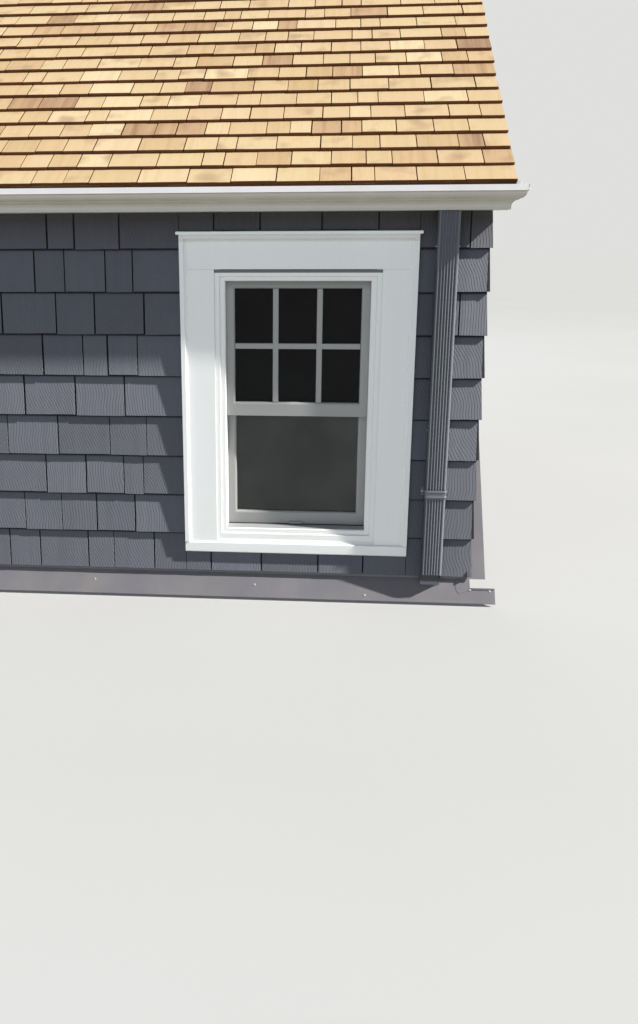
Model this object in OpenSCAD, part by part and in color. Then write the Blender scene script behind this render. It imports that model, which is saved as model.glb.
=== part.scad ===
// Shed dormer with two double-hung windows, standing on the slope of a pitched roof.
// Millimetres, +Z up, X along the front, Y into the building.
// The origin lies on the roof slope, below the outer face of the front sheathing, halfway along it.

/* [Node] */
// Which node is drawn; all draws the whole part

/* [Roof slopes] */
// Slope of the roof that the dormer stands on, in degrees
main_pitch = 52; // [48:1:56]
// Slope of the dormer's own roof, in degrees
roof_pitch = 35; // [30:1:37]

/* [Front wall] */
// Width of the front wall over its sheathing
wall_w = 3660; // [3300:20:4400]
// Thickness of the wall sheathing
sheath_t = 12; // [9:1:18]
// Depth of a stud or plate across the wall
stud_d = 89; // [64:1:140]
// Thickness of a stud or plate
stud_t = 38; // [35:1:45]
// Height of the header over a window
header_h = 72; // [60:1:140]
// Height of the top plate at the front sheathing
plate_h = 67; // [40:1:140]
// Largest distance between the centres of two studs
stud_gap = 406; // [300:2:610]
// Height of the lowest shingle butts above the origin
first_butt = 15; // [10:1:25]
// Height of one wall course left to the weather
wall_course = 160; // [120:1:190]
// Thickness of a shingle at its butt
butt_t = 10; // [8:0.5:14]
// Thickness of the layers under the butt of a wall course
wall_under = 9; // [6:0.5:14]

/* [Dormer roof] */
// Length of one roof course left to the weather
roof_course = 112; // [90:1:140]
// Thickness of a roof shingle at its butt
roof_butt_t = 12; // [8:0.5:16]
// Thickness of the layers under the butt of a roof course
roof_under = 19; // [10:0.5:24]
// Thickness of the roof deck boards
deck_t = 12; // [10:1:25]
// Depth of a rafter across its slope
rafter_d = 140; // [89:1:184]
// Number of rafters
rafter_n = 9; // [7:1:12]
// How far the shingles pass the fascia at the eave
eave_lap = 38; // [20:1:60]
// How far the shingles pass the rake boards
rake_lap = 40; // [15:1:60]
// Thickness of a rake board
rake_t = 40; // [25:1:50]
// Height of a rake board across the slope
rake_h = 84; // [70:1:160]

/* [Fascia and gutter] */
// Thickness of the fascia
fascia_t = 20; // [18:1:25]
// Height of the fascia's front
fascia_h = 89; // [85:1:110]
// Height of the gutter front
gutter_h = 82; // [75:1:95]
// Distance from the gutter's back to its lip
gutter_w = 127; // [110:1:150]
// Width of the gutter's flat floor
gutter_floor = 76; // [65:1:90]
// Height of the lip
lip_h = 20; // [14:1:26]
// Width of the hem folded in at the top of the lip
hem_w = 14; // [8:1:20]
// Distance from the wall corner to the end of the gutter's floor
gutter_end = 59; // [45:1:80]
// Sheet thickness of the gutter and downspouts
metal_t = 1.2; // [0.8:0.1:2]

/* [Downspouts] */
// Distance from the wall corner to the centre of a downspout
spout_in = 149; // [120:1:180]
// Width of a downspout
spout_w = 79; // [70:1:90]
// Depth of a downspout
spout_d = 58; // [50:1:66]
// Number of flutes in the front of a downspout
flute_n = 7; // [5:1:9]
// Depth of a flute
flute_d = 4; // [2:0.5:6]
// Radius of the outlet that drops into a downspout
outlet_r = 22; // [18:0.5:22]
// Height of the mouth's upper edge above the origin
mouth_z = 45; // [30:1:70]
// Height of the strap above the origin
strap_z = 371; // [300:1:900]
// Width of the strap's band
strap_h = 34; // [20:1:40]
// Length of each ear of the strap
strap_ear = 12; // [8:1:30]
// Gap between the wall's shingles and the back of a downspout
spout_gap = 4; // [2:1:12]
// Length of the outlet below the gutter's floor
outlet_l = 30; // [20:1:60]

/* [Flashings] */
// Sheet thickness of the flashings
flash_t = 1.5; // [1:0.1:2.5]
// Length of the apron down the slope
apron_l = 104; // [80:1:150]
// How far the apron runs past the wall corners
apron_end = 111; // [60:1:140]
// Width of the step flashing on the slope
step_w = 75; // [60:1:110]
// Height of the step flashing up the side walls, across the slope
step_h = 40; // [30:1:80]
// Length of the flashing above the dormer roof, up the slope
top_flash_l = 150; // [100:1:220]

/* [Windows] */
// Distance from the wall corner to the centre of a window
window_in = 696; // [660:1:760]
// Width between the window's jambs
light_w = 554; // [480:1:640]
// Height between the window's sill and head
light_h = 977; // [850:1:1000]
// Height of the window's sill above the origin
light_z = 198; // [190:1:230]
// Width of the window frame's face
frame_w = 41; // [30:1:50]
// How far the window frame's face stands out from the sheathing
frame_out = 14; // [8:1:18]
// Height of the groove between the head of a window frame and the head casing
head_groove = 8; // [0:1:12]
// Width of a side casing with its back band
casing_w = 130; // [100:1:140]
// Height of the head casing with its back band
head_h = 126; // [100:1:135]
// Thickness of a casing
casing_t = 20; // [19:1:24]
// Width of the back band
band_w = 28; // [20:1:34]
// Thickness of the back band
band_t = 32; // [28:1:36]
// Height of the head cap
cap_h = 14; // [10:1:20]
// How far the head cap passes the back band, sideways and to the front
cap_lap = 10; // [5:1:20]
// Height of the sill's nose
nose_h = 44; // [35:1:50]
// How far the sill's nose stands out from the sheathing
nose_out = 28; // [28:1:45]

/* [Sashes] */
// Visible width of a sash stile
stile_w = 34; // [28:1:45]
// Height of the upper sash's top rail
top_rail = 28; // [24:1:45]
// Height of each check rail
check_rail = 54; // [35:1:60]
// Height of the lower sash's bottom rail
bottom_rail = 58; // [45:1:80]
// Thickness of a sash
sash_t = 35; // [30:1:40]
// Thickness of the glass
glass_t = 4; // [3:0.5:6]
// Width and depth of the moulded edge round the glass
sash_bead = 9; // [5:1:12]
// Height of the meeting line above the window's sill
meet_h = 459; // [400:1:500]
// Distance from the sheathing's outer face back to the upper sash
sash_in = 12; // [8:1:20]
// Width of a sash lock's plate
lock_w = 44; // [36:1:60]
// Depth of a sash lock's plate
lock_d = 20; // [16:1:28]
// Height of a sash lock
lock_h = 9; // [6:1:14]

/* [Hidden] */
// Half the width over the front sheathing
half_w = wall_w / 2;
// Distance from the middle of the front to the centre of a window
window_x = half_w - window_in;
// Width of the fascia and gutter beyond the wall corner, at the rake boards
edge_x = half_w + rake_t;
// Outer face of the roof shingles at the rakes
shingle_x = edge_x + rake_lap;
// Back face of the front studs
wall_back = sheath_t + stud_d;
// Gap between a window frame and the timber or casing beside it
frame_play = 1;
// Extra height of the window frame at its foot and at its head
frame_foot = 4;
frame_head = 2;
// Share of the frame's face that stands proud, and the depth of the step behind it
frame_proud = 0.45;
frame_step = 8;
// How far the bottom of the groove over the frame's head stands out from the sheathing
groove_out = 2;
// Fall from the foot of the frame to the top of the sill's nose
sill_fall = 12;
// Width of the eased edges of the sill's nose, and the fall of the head cap
nose_ease = 4;
cap_fall = 4;
// Rise per unit of depth of the main slope
main_k = tan(main_pitch);
// Rise per unit of depth of the dormer roof
roof_k = tan(roof_pitch);
// Vertical depth of the deck
deck_v = deck_t / cos(roof_pitch);
// Vertical depth of a rafter
rafter_v = rafter_d / cos(roof_pitch);
// Top of the front sole
sole_z = light_z - frame_w - frame_foot;
// Top of the window frame
frame_z = light_z + light_h + frame_w + frame_head;
// Height of the rafters' underside at the front sheathing
seat_z = frame_z + header_h + plate_h;
// Height of the deck's underside at the front sheathing
under_z = seat_z + rafter_v;
// Height of the deck's top face at the front sheathing
deck_z = under_z + deck_v;
// Underside of the fascia and gutter
gutter_z = under_z - fascia_t * roof_k - fascia_h;
// Depth at which the deck meets the main slope
deck_back = deck_z / (main_k - roof_k);
// Depth at which the rafters' underside meets the main slope
seat_back = seat_z / (main_k - roof_k);
// Height of the front shingles
shingle_top = gutter_z;
// Total thickness of the wall shingles at a butt
wall_out = butt_t + wall_under;
// Total thickness of the roof shingles at a butt
roof_out = roof_butt_t + roof_under;
// Half the width over a window's casings
case_x = light_w / 2 + frame_w + casing_w;
// Underside of the head casing
head_z = frame_z + frame_play;
// Top of the head casing
case_z = head_z + head_h;
// Top of the sill's nose
nose_z = sole_z - sill_fall;
// Plane of the back of the downspouts
spout_y = -wall_out - spout_gap;
// Play between a strap and its downspout
strap_play = 0.3;
// Height at the back of the mouth, and the size of the curled lip there
mouth_back = 8;
curl_w = 16;
curl_h = 26;
// How far down the slope the ends of the apron start
apron_top = 40;
// How far the side flashings stop short of the dormer roof's top edge
step_stop = 60;
// Length of roof courses added before the cut at the main slope
course_spare = 200;
// Large size for cutting solids
far = 9000;

// Extrudes an outline of depth and height along X.
module along_x(outline, x0, x1) {
    translate([x0, 0, 0])
        rotate([90, 0, 90])
            linear_extrude(x1 - x0)
                polygon(outline);
}

// Extrudes an outline of width and height along Y.
module along_y(outline, y0, y1) {
    translate([0, y1, 0])
        rotate([90, 0, 0])
            linear_extrude(y1 - y0)
                polygon(outline);
}

// Everything above the main slope, raised square to it.
module above_slope(lift = 0) {
    rise = lift / cos(main_pitch);
    along_x([
        [-far, -far * main_k + rise],
        [far, far * main_k + rise],
        [-far, far * main_k + rise]
    ], -far, far);
}

// Everything below a level of the dormer roof, given by its height at the front sheathing.
module below_roof(level) {
    along_x([
        [-far, level - far * roof_k],
        [far, level + far * roof_k],
        [far, -far],
        [-far, -far]
    ], -far, far);
}

// Draws its children on both sides.
module both_sides() {
    children();
    mirror([1, 0, 0])
        children();
}

// Draws its children at both windows, with the window's centre at X = 0.
module both_windows() {
    both_sides()
        translate([window_x, 0, 0])
            children();
}

// A box given by two corners.
module box(low, high) {
    translate(low)
        cube(high - low);
}

// A frame of four strips in the plane of the front wall. Each outline gives distance from the
// frame's outer edge, then depth.
module strips(x, z0, z1, side, head, foot) {
    both_sides()
        translate([0, 0, z0])
            linear_extrude(z1 - z0)
                polygon([for (p = side) [x - p[0], p[1]]]);
    along_x([for (p = head) [p[1], z1 - p[0]]], -x, x);
    along_x([for (p = foot) [p[1], z0 + p[0]]], -x, x);
}

// A sash member in section, with a rounded edge to the glass on both faces.
function sash_member(w, y0, y1) = concat(
    [[0, y1], [0, y0]],
    arc([w - sash_bead, y0 + sash_bead], sash_bead, -90, 0, 4),
    [[w, y1 - sash_bead], [w - sash_bead, y1]]
);

// A member of the window frame in section: a groove where one is asked for, and two steps down to
// the sash.
function frame_member(w, extra = 0, groove = 0) =
    let (step = groove + (w - groove) * frame_proud + extra)
    concat(
        [[0, wall_back]],
        groove > 0 ? [[0, -groove_out], [groove, -groove_out]] : [],
        [
            [groove, -frame_out],
            [step, -frame_out],
            [step + 3, -frame_out + frame_step],
            [w - 4 + extra, -frame_out + frame_step],
            [w + extra, -frame_out + frame_step + 4],
            [w + extra, wall_back]
        ]
    );

function unit(v) = v / norm(v);
function turned(v) = [-v[1], v[0]];
function side_of(path, i) = turned(unit(path[i + 1] - path[i]));
function corner_of(path, i, t) =
    let (a = side_of(path, i - 1), b = side_of(path, i))
    path[i] + t * (a + b) / (1 + a * b);
function shifted(path, t) = [
    for (i = [0:len(path) - 1])
        i == 0 ? path[0] + t * side_of(path, 0)
        : i == len(path) - 1 ? path[i] + t * side_of(path, i - 1)
        : corner_of(path, i, t)
];
function backwards(path) = [for (i = [len(path) - 1:-1:0]) path[i]];
function ribbon(path, t) = concat(path, backwards(shifted(path, t)));
function arc(c, r, a0, a1, n) = [
    for (i = [0:n])
        let (a = a0 + (a1 - a0) * i / n)
        c + r * [cos(a), sin(a)]
];

// A point of the dormer roof, given by its distance up the slope and its height above the deck.
function on_roof(u, h) = [
    u * cos(roof_pitch) - h * sin(roof_pitch) - fascia_t,
    u * sin(roof_pitch) + h * cos(roof_pitch) + deck_z - fascia_t * roof_k
];

// A point of the main slope, given by its distance up the slope and its height above it.
function on_slope(u, h) = [
    u * cos(main_pitch) - h * sin(main_pitch),
    u * sin(main_pitch) + h * cos(main_pitch)
];

// Number of wall courses and of roof courses
wall_n = ceil((shingle_top - first_butt) / wall_course);
roof_n = ceil((deck_back / cos(roof_pitch) + course_spare) / roof_course);

module front_sole() {
    color("BurlyWood")
        along_x([
            [sheath_t, sheath_t * main_k],
            [wall_back, wall_back * main_k],
            [wall_back, sole_z],
            [sheath_t, sole_z]
        ], -half_w + sheath_t, half_w - sheath_t);
}

module cheek_soles() {
    color("BurlyWood")
        both_sides()
            intersection() {
                along_x([
                    on_slope(0, 0),
                    on_slope(seat_back / cos(main_pitch), 0),
                    on_slope(seat_back / cos(main_pitch), stud_t),
                    on_slope(0, stud_t)
                ], half_w - wall_back, half_w - sheath_t);
                box([0, wall_back, 0], [far, far, far]);
                below_roof(seat_z - stud_t / cos(roof_pitch));
            }
}

module front_studs() {
    color("Wheat") {
        both_sides() {
            for (x = [half_w - sheath_t - stud_t, window_x + light_w / 2 + frame_w + frame_play,
                      window_x - light_w / 2 - frame_w - frame_play - stud_t, stud_gap / 2 - stud_t / 2])
                box([x, sheath_t, sole_z], [x + stud_t, wall_back, frame_z + header_h]);
        }
    }
}

module window_headers() {
    color("BurlyWood")
        both_windows()
            box([-light_w / 2 - frame_w - frame_play, sheath_t, frame_z],
                [light_w / 2 + frame_w + frame_play, wall_back, frame_z + header_h]);
}

module front_top_plate() {
    color("BurlyWood")
        along_x([
            [sheath_t, frame_z + header_h],
            [wall_back, frame_z + header_h],
            [wall_back, seat_z + wall_back * roof_k],
            [sheath_t, seat_z + sheath_t * roof_k]
        ], -half_w + sheath_t, half_w - sheath_t);
}

module cheek_studs() {
    n = ceil((seat_back - wall_back) / stud_gap);
    color("Wheat")
        both_sides()
            intersection() {
                for (i = [0:n - 1])
                    box([half_w - wall_back, wall_back + i * stud_gap, 0],
                        [half_w - sheath_t, wall_back + i * stud_gap + stud_t, far]);
                above_slope(stud_t);
                below_roof(seat_z - stud_t / cos(roof_pitch));
            }
}

module cheek_top_plates() {
    color("BurlyWood")
        both_sides()
            intersection() {
                difference() {
                    below_roof(seat_z);
                    below_roof(seat_z - stud_t / cos(roof_pitch));
                }
                box([half_w - wall_back, wall_back, 0], [half_w - sheath_t, far, far]);
                above_slope(0);
            }
}

module rafters() {
    span = wall_w - 2 * sheath_t - stud_t;
    color("Wheat")
        intersection() {
            difference() {
                below_roof(under_z);
                below_roof(seat_z);
            }
            for (i = [0:rafter_n - 1])
                translate([-span / 2 + i * span / (rafter_n - 1) - stud_t / 2, sheath_t, 0])
                    cube([stud_t, far, far]);
            above_slope(stud_t);
        }
}

module back_ledger() {
    color("BurlyWood")
        intersection() {
            above_slope(0);
            difference() {
                below_roof(under_z);
                above_slope(stud_t);
                below_roof(seat_z);
            }
            box([-half_w + sheath_t, seat_back - 10, 0], [half_w - sheath_t, far, far]);
        }
}

module front_sheathing() {
    color("Tan")
        difference() {
            along_x([
                [0, 0],
                [sheath_t, sheath_t * main_k],
                [sheath_t, under_z + sheath_t * roof_k],
                [0, under_z]
            ], -half_w, half_w);
            both_windows()
                box([-light_w / 2 - frame_w, -1, sole_z],
                    [light_w / 2 + frame_w, sheath_t + 1, frame_z]);
        }
}

module cheek_sheathing() {
    color("Tan")
        both_sides()
            intersection() {
                box([half_w - sheath_t, sheath_t, 0], [half_w, far, far]);
                above_slope(0);
                below_roof(under_z);
            }
}

module roof_deck() {
    color("Tan")
        intersection() {
            difference() {
                below_roof(deck_z);
                below_roof(under_z);
            }
            box([-edge_x, -fascia_t, 0], [edge_x, far, far]);
            above_slope(0);
        }
}

// Height of the butts of a wall course.
function butt_z(i) = first_butt + i * wall_course;

// One wall course in section, leaning out to its butt, as an outline of depth and height.
function course_section(i) = [
    [0, butt_z(i)],
    [-wall_out, butt_z(i)],
    [-wall_under, butt_z(i + 1)],
    [0, butt_z(i + 1)]
];

// One course of the front wall. Every second one laps the corners, cut to the side wall's face.
module front_course(i) {
    lap = i % 2 == 0 ? 1 : 0;
    intersection() {
        along_x(course_section(i), -far, far);
        along_y([
            [-half_w - lap * wall_out, butt_z(i)],
            [half_w + lap * wall_out, butt_z(i)],
            [half_w + lap * wall_under, butt_z(i + 1)],
            [-half_w - lap * wall_under, butt_z(i + 1)]
        ], -far, far);
    }
}

module front_shingles() {
    color("DimGray")
        difference() {
            intersection() {
                for (i = [0:wall_n - 1])
                    front_course(i);
                box([-far, -far, 0], [far, 0, shingle_top]);
            }
            both_windows()
                box([-case_x, -far, nose_z - nose_h], [case_x, 1, case_z + cap_h]);
        }
}

// One course of the right side wall. The courses between the front's laps lap the front corner.
module side_course(i) {
    lap = i % 2 == 0 ? 0 : 1;
    intersection() {
        translate([half_w, 0, 0])
            rotate([0, 0, 90])
                along_x(course_section(i), -far, far);
        along_x([
            [-lap * wall_out, butt_z(i)],
            [-lap * wall_under, butt_z(i + 1)],
            [deck_back, butt_z(i + 1)],
            [deck_back, butt_z(i)]
        ], -far, far);
    }
}

module cheek_shingles() {
    n = ceil((deck_back * main_k) / wall_course);
    intersection() {
        for (i = [0:n - 1])
            side_course(i);
        above_slope(step_h);
        below_roof(under_z - rake_h / cos(roof_pitch));
    }
}

module right_cheek_shingles() {
    color("SlateGray")
        cheek_shingles();
}

module left_cheek_shingles() {
    color("SlateGray")
        mirror([1, 0, 0])
            cheek_shingles();
}

module roof_shingles() {
    u0 = -eave_lap / cos(roof_pitch);
    teeth = [
        for (i = [0:roof_n])
            for (p = [[u0 + i * roof_course, roof_out], [u0 + (i + 1) * roof_course, roof_under]])
                on_roof(p[0], p[1])
    ];
    color("Goldenrod")
        intersection() {
            along_x(concat(
                [on_roof(u0, roof_butt_t)],
                teeth,
                [on_roof(u0 + (roof_n + 1) * roof_course, 0), on_roof(roof_course, 0), on_roof(0, roof_butt_t)]
            ), -shingle_x, shingle_x);
            above_slope(flash_t);
        }
}

module starter_course() {
    u0 = -eave_lap / cos(roof_pitch);
    color("Peru")
        along_x([
            on_roof(u0, 0),
            on_roof(u0, roof_butt_t),
            on_roof(0, roof_butt_t),
            on_roof(roof_course, 0)
        ], -shingle_x, shingle_x);
}

module fascia() {
    top = under_z;
    color("Gainsboro")
        along_x([
            [-fascia_t, gutter_z],
            [0, gutter_z],
            [0, top],
            [-fascia_t, top - fascia_t * roof_k]
        ], -edge_x, edge_x);
}

module rake_boards() {
    color("Gainsboro")
        both_sides()
            intersection() {
                difference() {
                    below_roof(under_z);
                    below_roof(under_z - rake_h / cos(roof_pitch));
                }
                box([half_w, 0, 0], [edge_x, far, far]);
                above_slope(step_h);
            }
}

// The gutter's face from the back of its floor to the top of its lip, as run and height.
function gutter_face() =
    let (
        rise = 10,
        lip_z = gutter_h - lip_h,
        lip_out = 5,
        cove = (gutter_w - gutter_floor - lip_out) / 2,
        bead_z = lip_z - 4
    )
    concat(
        [[0, 0], [gutter_floor, 0]],
        arc([gutter_floor + cove, rise], cove, 180, 90, 6),
        arc([gutter_floor + cove, bead_z], bead_z - rise - cove - 3, 270, 360, 6),
        [[gutter_w - lip_out, bead_z + 1], [gutter_w, lip_z], [gutter_w, gutter_h]]
    );

module gutter() {
    face = gutter_face();
    inner = shifted(face, metal_t);
    x0 = half_w + gutter_end;
    high = gutter_h + 3;
    trough = concat(
        [[metal_t, metal_t]],
        [for (i = [1:len(inner) - 2]) inner[i]],
        [
            [gutter_w - metal_t, gutter_h - metal_t],
            [gutter_w - hem_w, gutter_h - metal_t],
            [gutter_w - hem_w, high],
            [metal_t, high]
        ]
    );
    function to_front(path) = [for (p = path) [-fascia_t - p[0], gutter_z + p[1]]];
    function to_side(path) = [
        for (p = path)
            if (p[0] > metal_t) [x0 - gutter_floor + p[0], gutter_z + p[1]]
    ];
    color("WhiteSmoke")
        difference() {
            intersection() {
                along_x(concat(to_front(face), [[-fascia_t, gutter_z + gutter_h]]), -far, far);
                both_sides()
                    along_y(concat([[0, gutter_z]], to_side(face), [[0, gutter_z + gutter_h]]), -far, far);
            }
            intersection() {
                along_x(to_front(trough), -far, far);
                both_sides()
                    along_y(concat([[0, gutter_z + metal_t]], to_side(trough), [[0, gutter_z + high]]), -far, far);
            }
            both_sides()
                translate([half_w - spout_in, spout_y - spout_d / 2, gutter_z - 1])
                    cylinder(h = 6, r = outlet_r, $fn = 24);
        }
}

// Closes the back of each mitred end, beside the fascia.
module gutter_ends() {
    x0 = half_w + gutter_end - gutter_floor;
    color("WhiteSmoke")
        both_sides()
            along_y(concat(
                [[edge_x, gutter_z]],
                [for (p = gutter_face()) if (x0 + p[0] > edge_x) [x0 + p[0], gutter_z + p[1]]],
                [[x0 + gutter_w, under_z - lip_h / 2], [x0 + gutter_w - lip_h / 2, under_z], [edge_x, under_z]]
            ), -fascia_t, -fascia_t + metal_t);
}

// The fluted front of a downspout, as an outline of width and depth.
function flute_path() =
    let (
        pitch = (spout_w - 8) / flute_n,
        x0 = -spout_w / 2 + 4
    )
    concat(
        [[-spout_w / 2 + metal_t, -spout_d]],
        [
            for (i = [0:flute_n - 1])
                for (p = [[0.2, 0], [0.35, 1], [0.65, 1], [0.8, 0]])
                    [x0 + (i + p[0]) * pitch, -spout_d + p[1] * flute_d]
        ],
        [[spout_w / 2 - metal_t, -spout_d]]
    );

// Draws its children at both downspouts, with the middle of the pipe's back at the origin.
module both_spouts() {
    both_sides()
        translate([half_w - spout_in, spout_y, 0])
            children();
}

// What is cut away below the mouth of a downspout, higher at its front than at its back.
module below_mouth() {
    along_x([
        [-spout_d - 5, mouth_z],
        [-mouth_back, mouth_back],
        [5, -curl_h - 14],
        [-spout_d - 5, -curl_h - 14]
    ], -far, far);
}

module downspouts() {
    w = spout_w / 2;
    color("SlateGray")
        both_spouts()
            difference() {
                linear_extrude(gutter_z)
                    polygon([
                        [-w, -spout_d], [-w + metal_t, -spout_d], [-w + metal_t, -metal_t],
                        [w - metal_t, -metal_t], [w - metal_t, -spout_d], [w, -spout_d], [w, 0], [-w, 0]
                    ]);
                below_mouth();
            }
}

module downspout_fronts() {
    color("SlateGray")
        both_spouts()
            difference() {
                linear_extrude(gutter_z)
                    polygon(ribbon(flute_path(), metal_t));
                below_mouth();
            }
}

module downspout_lips() {
    color("SlateGray")
        both_spouts()
            along_x(ribbon([
                for (i = [0:6])
                    [-metal_t - curl_w * (1 - cos(i * 13)), mouth_back + 2 - curl_h * sin(i * 13)]
            ], -metal_t), -spout_w / 2 + 8, spout_w / 2 - 8);
}

module downspout_straps() {
    back = -wall_out;
    w = spout_w / 2 + strap_play;
    d = spout_d + spout_gap + strap_play;
    color("DarkSlateGray")
        both_sides()
            translate([half_w - spout_in, back, strap_z]) {
                linear_extrude(strap_h, center = true)
                    polygon(ribbon([
                        [-w - strap_ear, 0], [-w, 0], [-w, -d], [w, -d], [w, 0], [w + strap_ear, 0]
                    ], -metal_t));
            }
}

module drop_outlets() {
    color("WhiteSmoke")
        both_sides()
            translate([half_w - spout_in, spout_y - spout_d / 2, gutter_z - outlet_l])
                difference() {
                    cylinder(h = outlet_l + metal_t, r = outlet_r, $fn = 24);
                    translate([0, 0, -1])
                        cylinder(h = outlet_l + 10, r = outlet_r - metal_t, $fn = 24);
                }
}

module apron_flashing() {
    color("LightSlateGray") {
        along_x(ribbon([
            [0, first_butt],
            [0, 0],
            on_slope(-apron_l, 0)
        ], -flash_t), -half_w, half_w);
        both_sides()
            along_x([
                on_slope(-apron_l, 0),
                on_slope(-apron_top, 0),
                on_slope(-apron_top, flash_t),
                on_slope(-apron_l, flash_t)
            ], half_w, half_w + apron_end);
    }
}

module step_flashing() {
    u1 = (deck_back - step_stop) / cos(main_pitch);
    color("LightSlateGray")
        both_sides()
            translate([half_w, 0, 0])
                rotate([main_pitch, 0, 0])
                    translate([0, u1, 0])
                        rotate([90, 0, 0])
                            linear_extrude(u1)
                                polygon([[0, 0], [step_w, 0], [step_w, flash_t], [flash_t, flash_t],
                                         [flash_t, step_h], [0, step_h]]);
}

module top_flashing() {
    u0 = deck_back / cos(main_pitch);
    color("LightSlateGray")
        along_x([
            on_slope(u0, 0),
            on_slope(u0 + top_flash_l, 0),
            on_slope(u0 + top_flash_l, flash_t),
            on_slope(u0 + 2, flash_t)
        ], -shingle_x, shingle_x);
}

module window_frames() {
    head = frame_z - light_z - light_h;
    foot = light_z - sole_z;
    color("White")
        both_windows()
            strips(light_w / 2 + frame_w, sole_z, frame_z, frame_member(frame_w),
                   frame_member(frame_w, head - frame_w, head_groove),
                   frame_member(frame_w, foot - frame_w));
}

module window_casings() {
    color("White")
        both_windows() {
            both_sides()
                box([light_w / 2 + frame_w, -casing_t, nose_z], [case_x, 0, head_z]);
            box([-case_x, -casing_t, head_z], [case_x, 0, case_z]);
        }
}

// The back band in section: a fillet and a hollow falling to the casing.
function band_section() = concat(
    [[0, -casing_t], [0, -band_t]],
    arc([band_w, -band_t], band_t - casing_t, 180, 90, 5)
);

module back_bands() {
    color("White")
        both_windows() {
            both_sides()
                translate([0, 0, nose_z])
                    linear_extrude(case_z - nose_z)
                        polygon([for (p = band_section()) [case_x - p[0], p[1]]]);
            along_x([for (p = band_section()) [p[1], case_z - p[0]]], -case_x, case_x);
        }
}

module head_caps() {
    x = case_x + cap_lap;
    color("White")
        both_windows()
            along_x([
                [0, case_z],
                [0, case_z + cap_h],
                [-band_t - cap_lap, case_z + cap_h - cap_fall],
                [-band_t - cap_lap, case_z]
            ], -x, x);
}

module window_sills() {
    x = light_w / 2 + frame_w;
    color("White")
        both_windows() {
            along_x([
                [0, nose_z - nose_h],
                [0, nose_z],
                [-nose_out + nose_ease, nose_z],
                [-nose_out, nose_z - nose_ease],
                [-nose_out, nose_z - nose_h + nose_ease],
                [-nose_out + nose_ease, nose_z - nose_h]
            ], -case_x, case_x);
            along_x([
                [0, nose_z],
                [0, sole_z],
                [-frame_out, sole_z],
                [-casing_t, nose_z]
            ], -x, x);
        }
}

module upper_sashes() {
    y0 = sash_in;
    y1 = y0 + sash_t;
    color("Gray")
        both_windows()
            strips(light_w / 2, light_z + meet_h, light_z + light_h, sash_member(stile_w, y0, y1),
                   sash_member(top_rail, y0, y1), sash_member(check_rail, y0, y1));
}

module lower_sashes() {
    y0 = sash_in + sash_t;
    y1 = y0 + sash_t;
    color("Gray")
        both_windows()
            strips(light_w / 2, light_z, light_z + meet_h + check_rail, sash_member(stile_w, y0, y1),
                   sash_member(check_rail, y0, y1), sash_member(bottom_rail, y0, y1));
}

module upper_glass() {
    y = sash_in + sash_t / 2;
    color("LightSteelBlue", 0.4)
        both_windows()
            box([-light_w / 2 + stile_w, y, light_z + meet_h + check_rail],
                [light_w / 2 - stile_w, y + glass_t, light_z + light_h - top_rail]);
}

module lower_glass() {
    y = sash_in + sash_t * 1.5;
    color("LightSteelBlue", 0.4)
        both_windows()
            box([-light_w / 2 + stile_w, y, light_z + bottom_rail],
                [light_w / 2 - stile_w, y + glass_t, light_z + meet_h]);
}

module sash_locks() {
    color("Silver")
        both_windows()
            translate([0, sash_in + 1.5 * sash_t, light_z + meet_h + check_rail])
                box([-lock_w / 2, -lock_d / 2, 0], [lock_w / 2, lock_d / 2, lock_h]);
}

front_sole();
cheek_soles();
front_studs();
window_headers();
front_top_plate();
cheek_studs();
cheek_top_plates();
rafters();
back_ledger();
front_sheathing();
cheek_sheathing();
roof_deck();
front_shingles();
right_cheek_shingles();
left_cheek_shingles();
roof_shingles();
starter_course();
fascia();
rake_boards();
gutter();
gutter_ends();
downspouts();
downspout_fronts();
downspout_lips();
downspout_straps();
drop_outlets();
apron_flashing();
step_flashing();
top_flashing();
window_frames();
window_casings();
back_bands();
head_caps();
window_sills();
upper_sashes();
lower_sashes();
upper_glass();
lower_glass();
sash_locks();
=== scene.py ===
"""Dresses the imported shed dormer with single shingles, window bars, fixings and finishes.

Metres, +Z up, X along the front, Y into the building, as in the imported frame.
"""

import logging
import math
import random
from dataclasses import dataclass, field
from enum import Enum
from typing import Any, Callable, Sequence

import bpy
from mathutils import Matrix, Vector


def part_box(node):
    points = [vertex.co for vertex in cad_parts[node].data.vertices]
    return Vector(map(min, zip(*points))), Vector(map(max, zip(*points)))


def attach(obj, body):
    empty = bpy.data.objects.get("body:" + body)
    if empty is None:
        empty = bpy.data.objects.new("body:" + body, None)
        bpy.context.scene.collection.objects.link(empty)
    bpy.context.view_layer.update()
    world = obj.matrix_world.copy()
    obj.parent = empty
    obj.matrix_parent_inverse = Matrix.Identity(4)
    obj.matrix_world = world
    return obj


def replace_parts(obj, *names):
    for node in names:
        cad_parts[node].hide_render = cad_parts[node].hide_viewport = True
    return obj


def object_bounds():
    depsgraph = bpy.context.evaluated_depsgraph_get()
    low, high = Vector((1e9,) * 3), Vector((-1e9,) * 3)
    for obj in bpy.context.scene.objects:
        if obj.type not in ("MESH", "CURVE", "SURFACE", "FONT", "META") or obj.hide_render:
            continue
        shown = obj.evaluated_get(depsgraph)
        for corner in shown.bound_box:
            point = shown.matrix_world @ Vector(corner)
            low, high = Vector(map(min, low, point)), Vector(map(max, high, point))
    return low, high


log = logging.getLogger("dormer")

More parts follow.
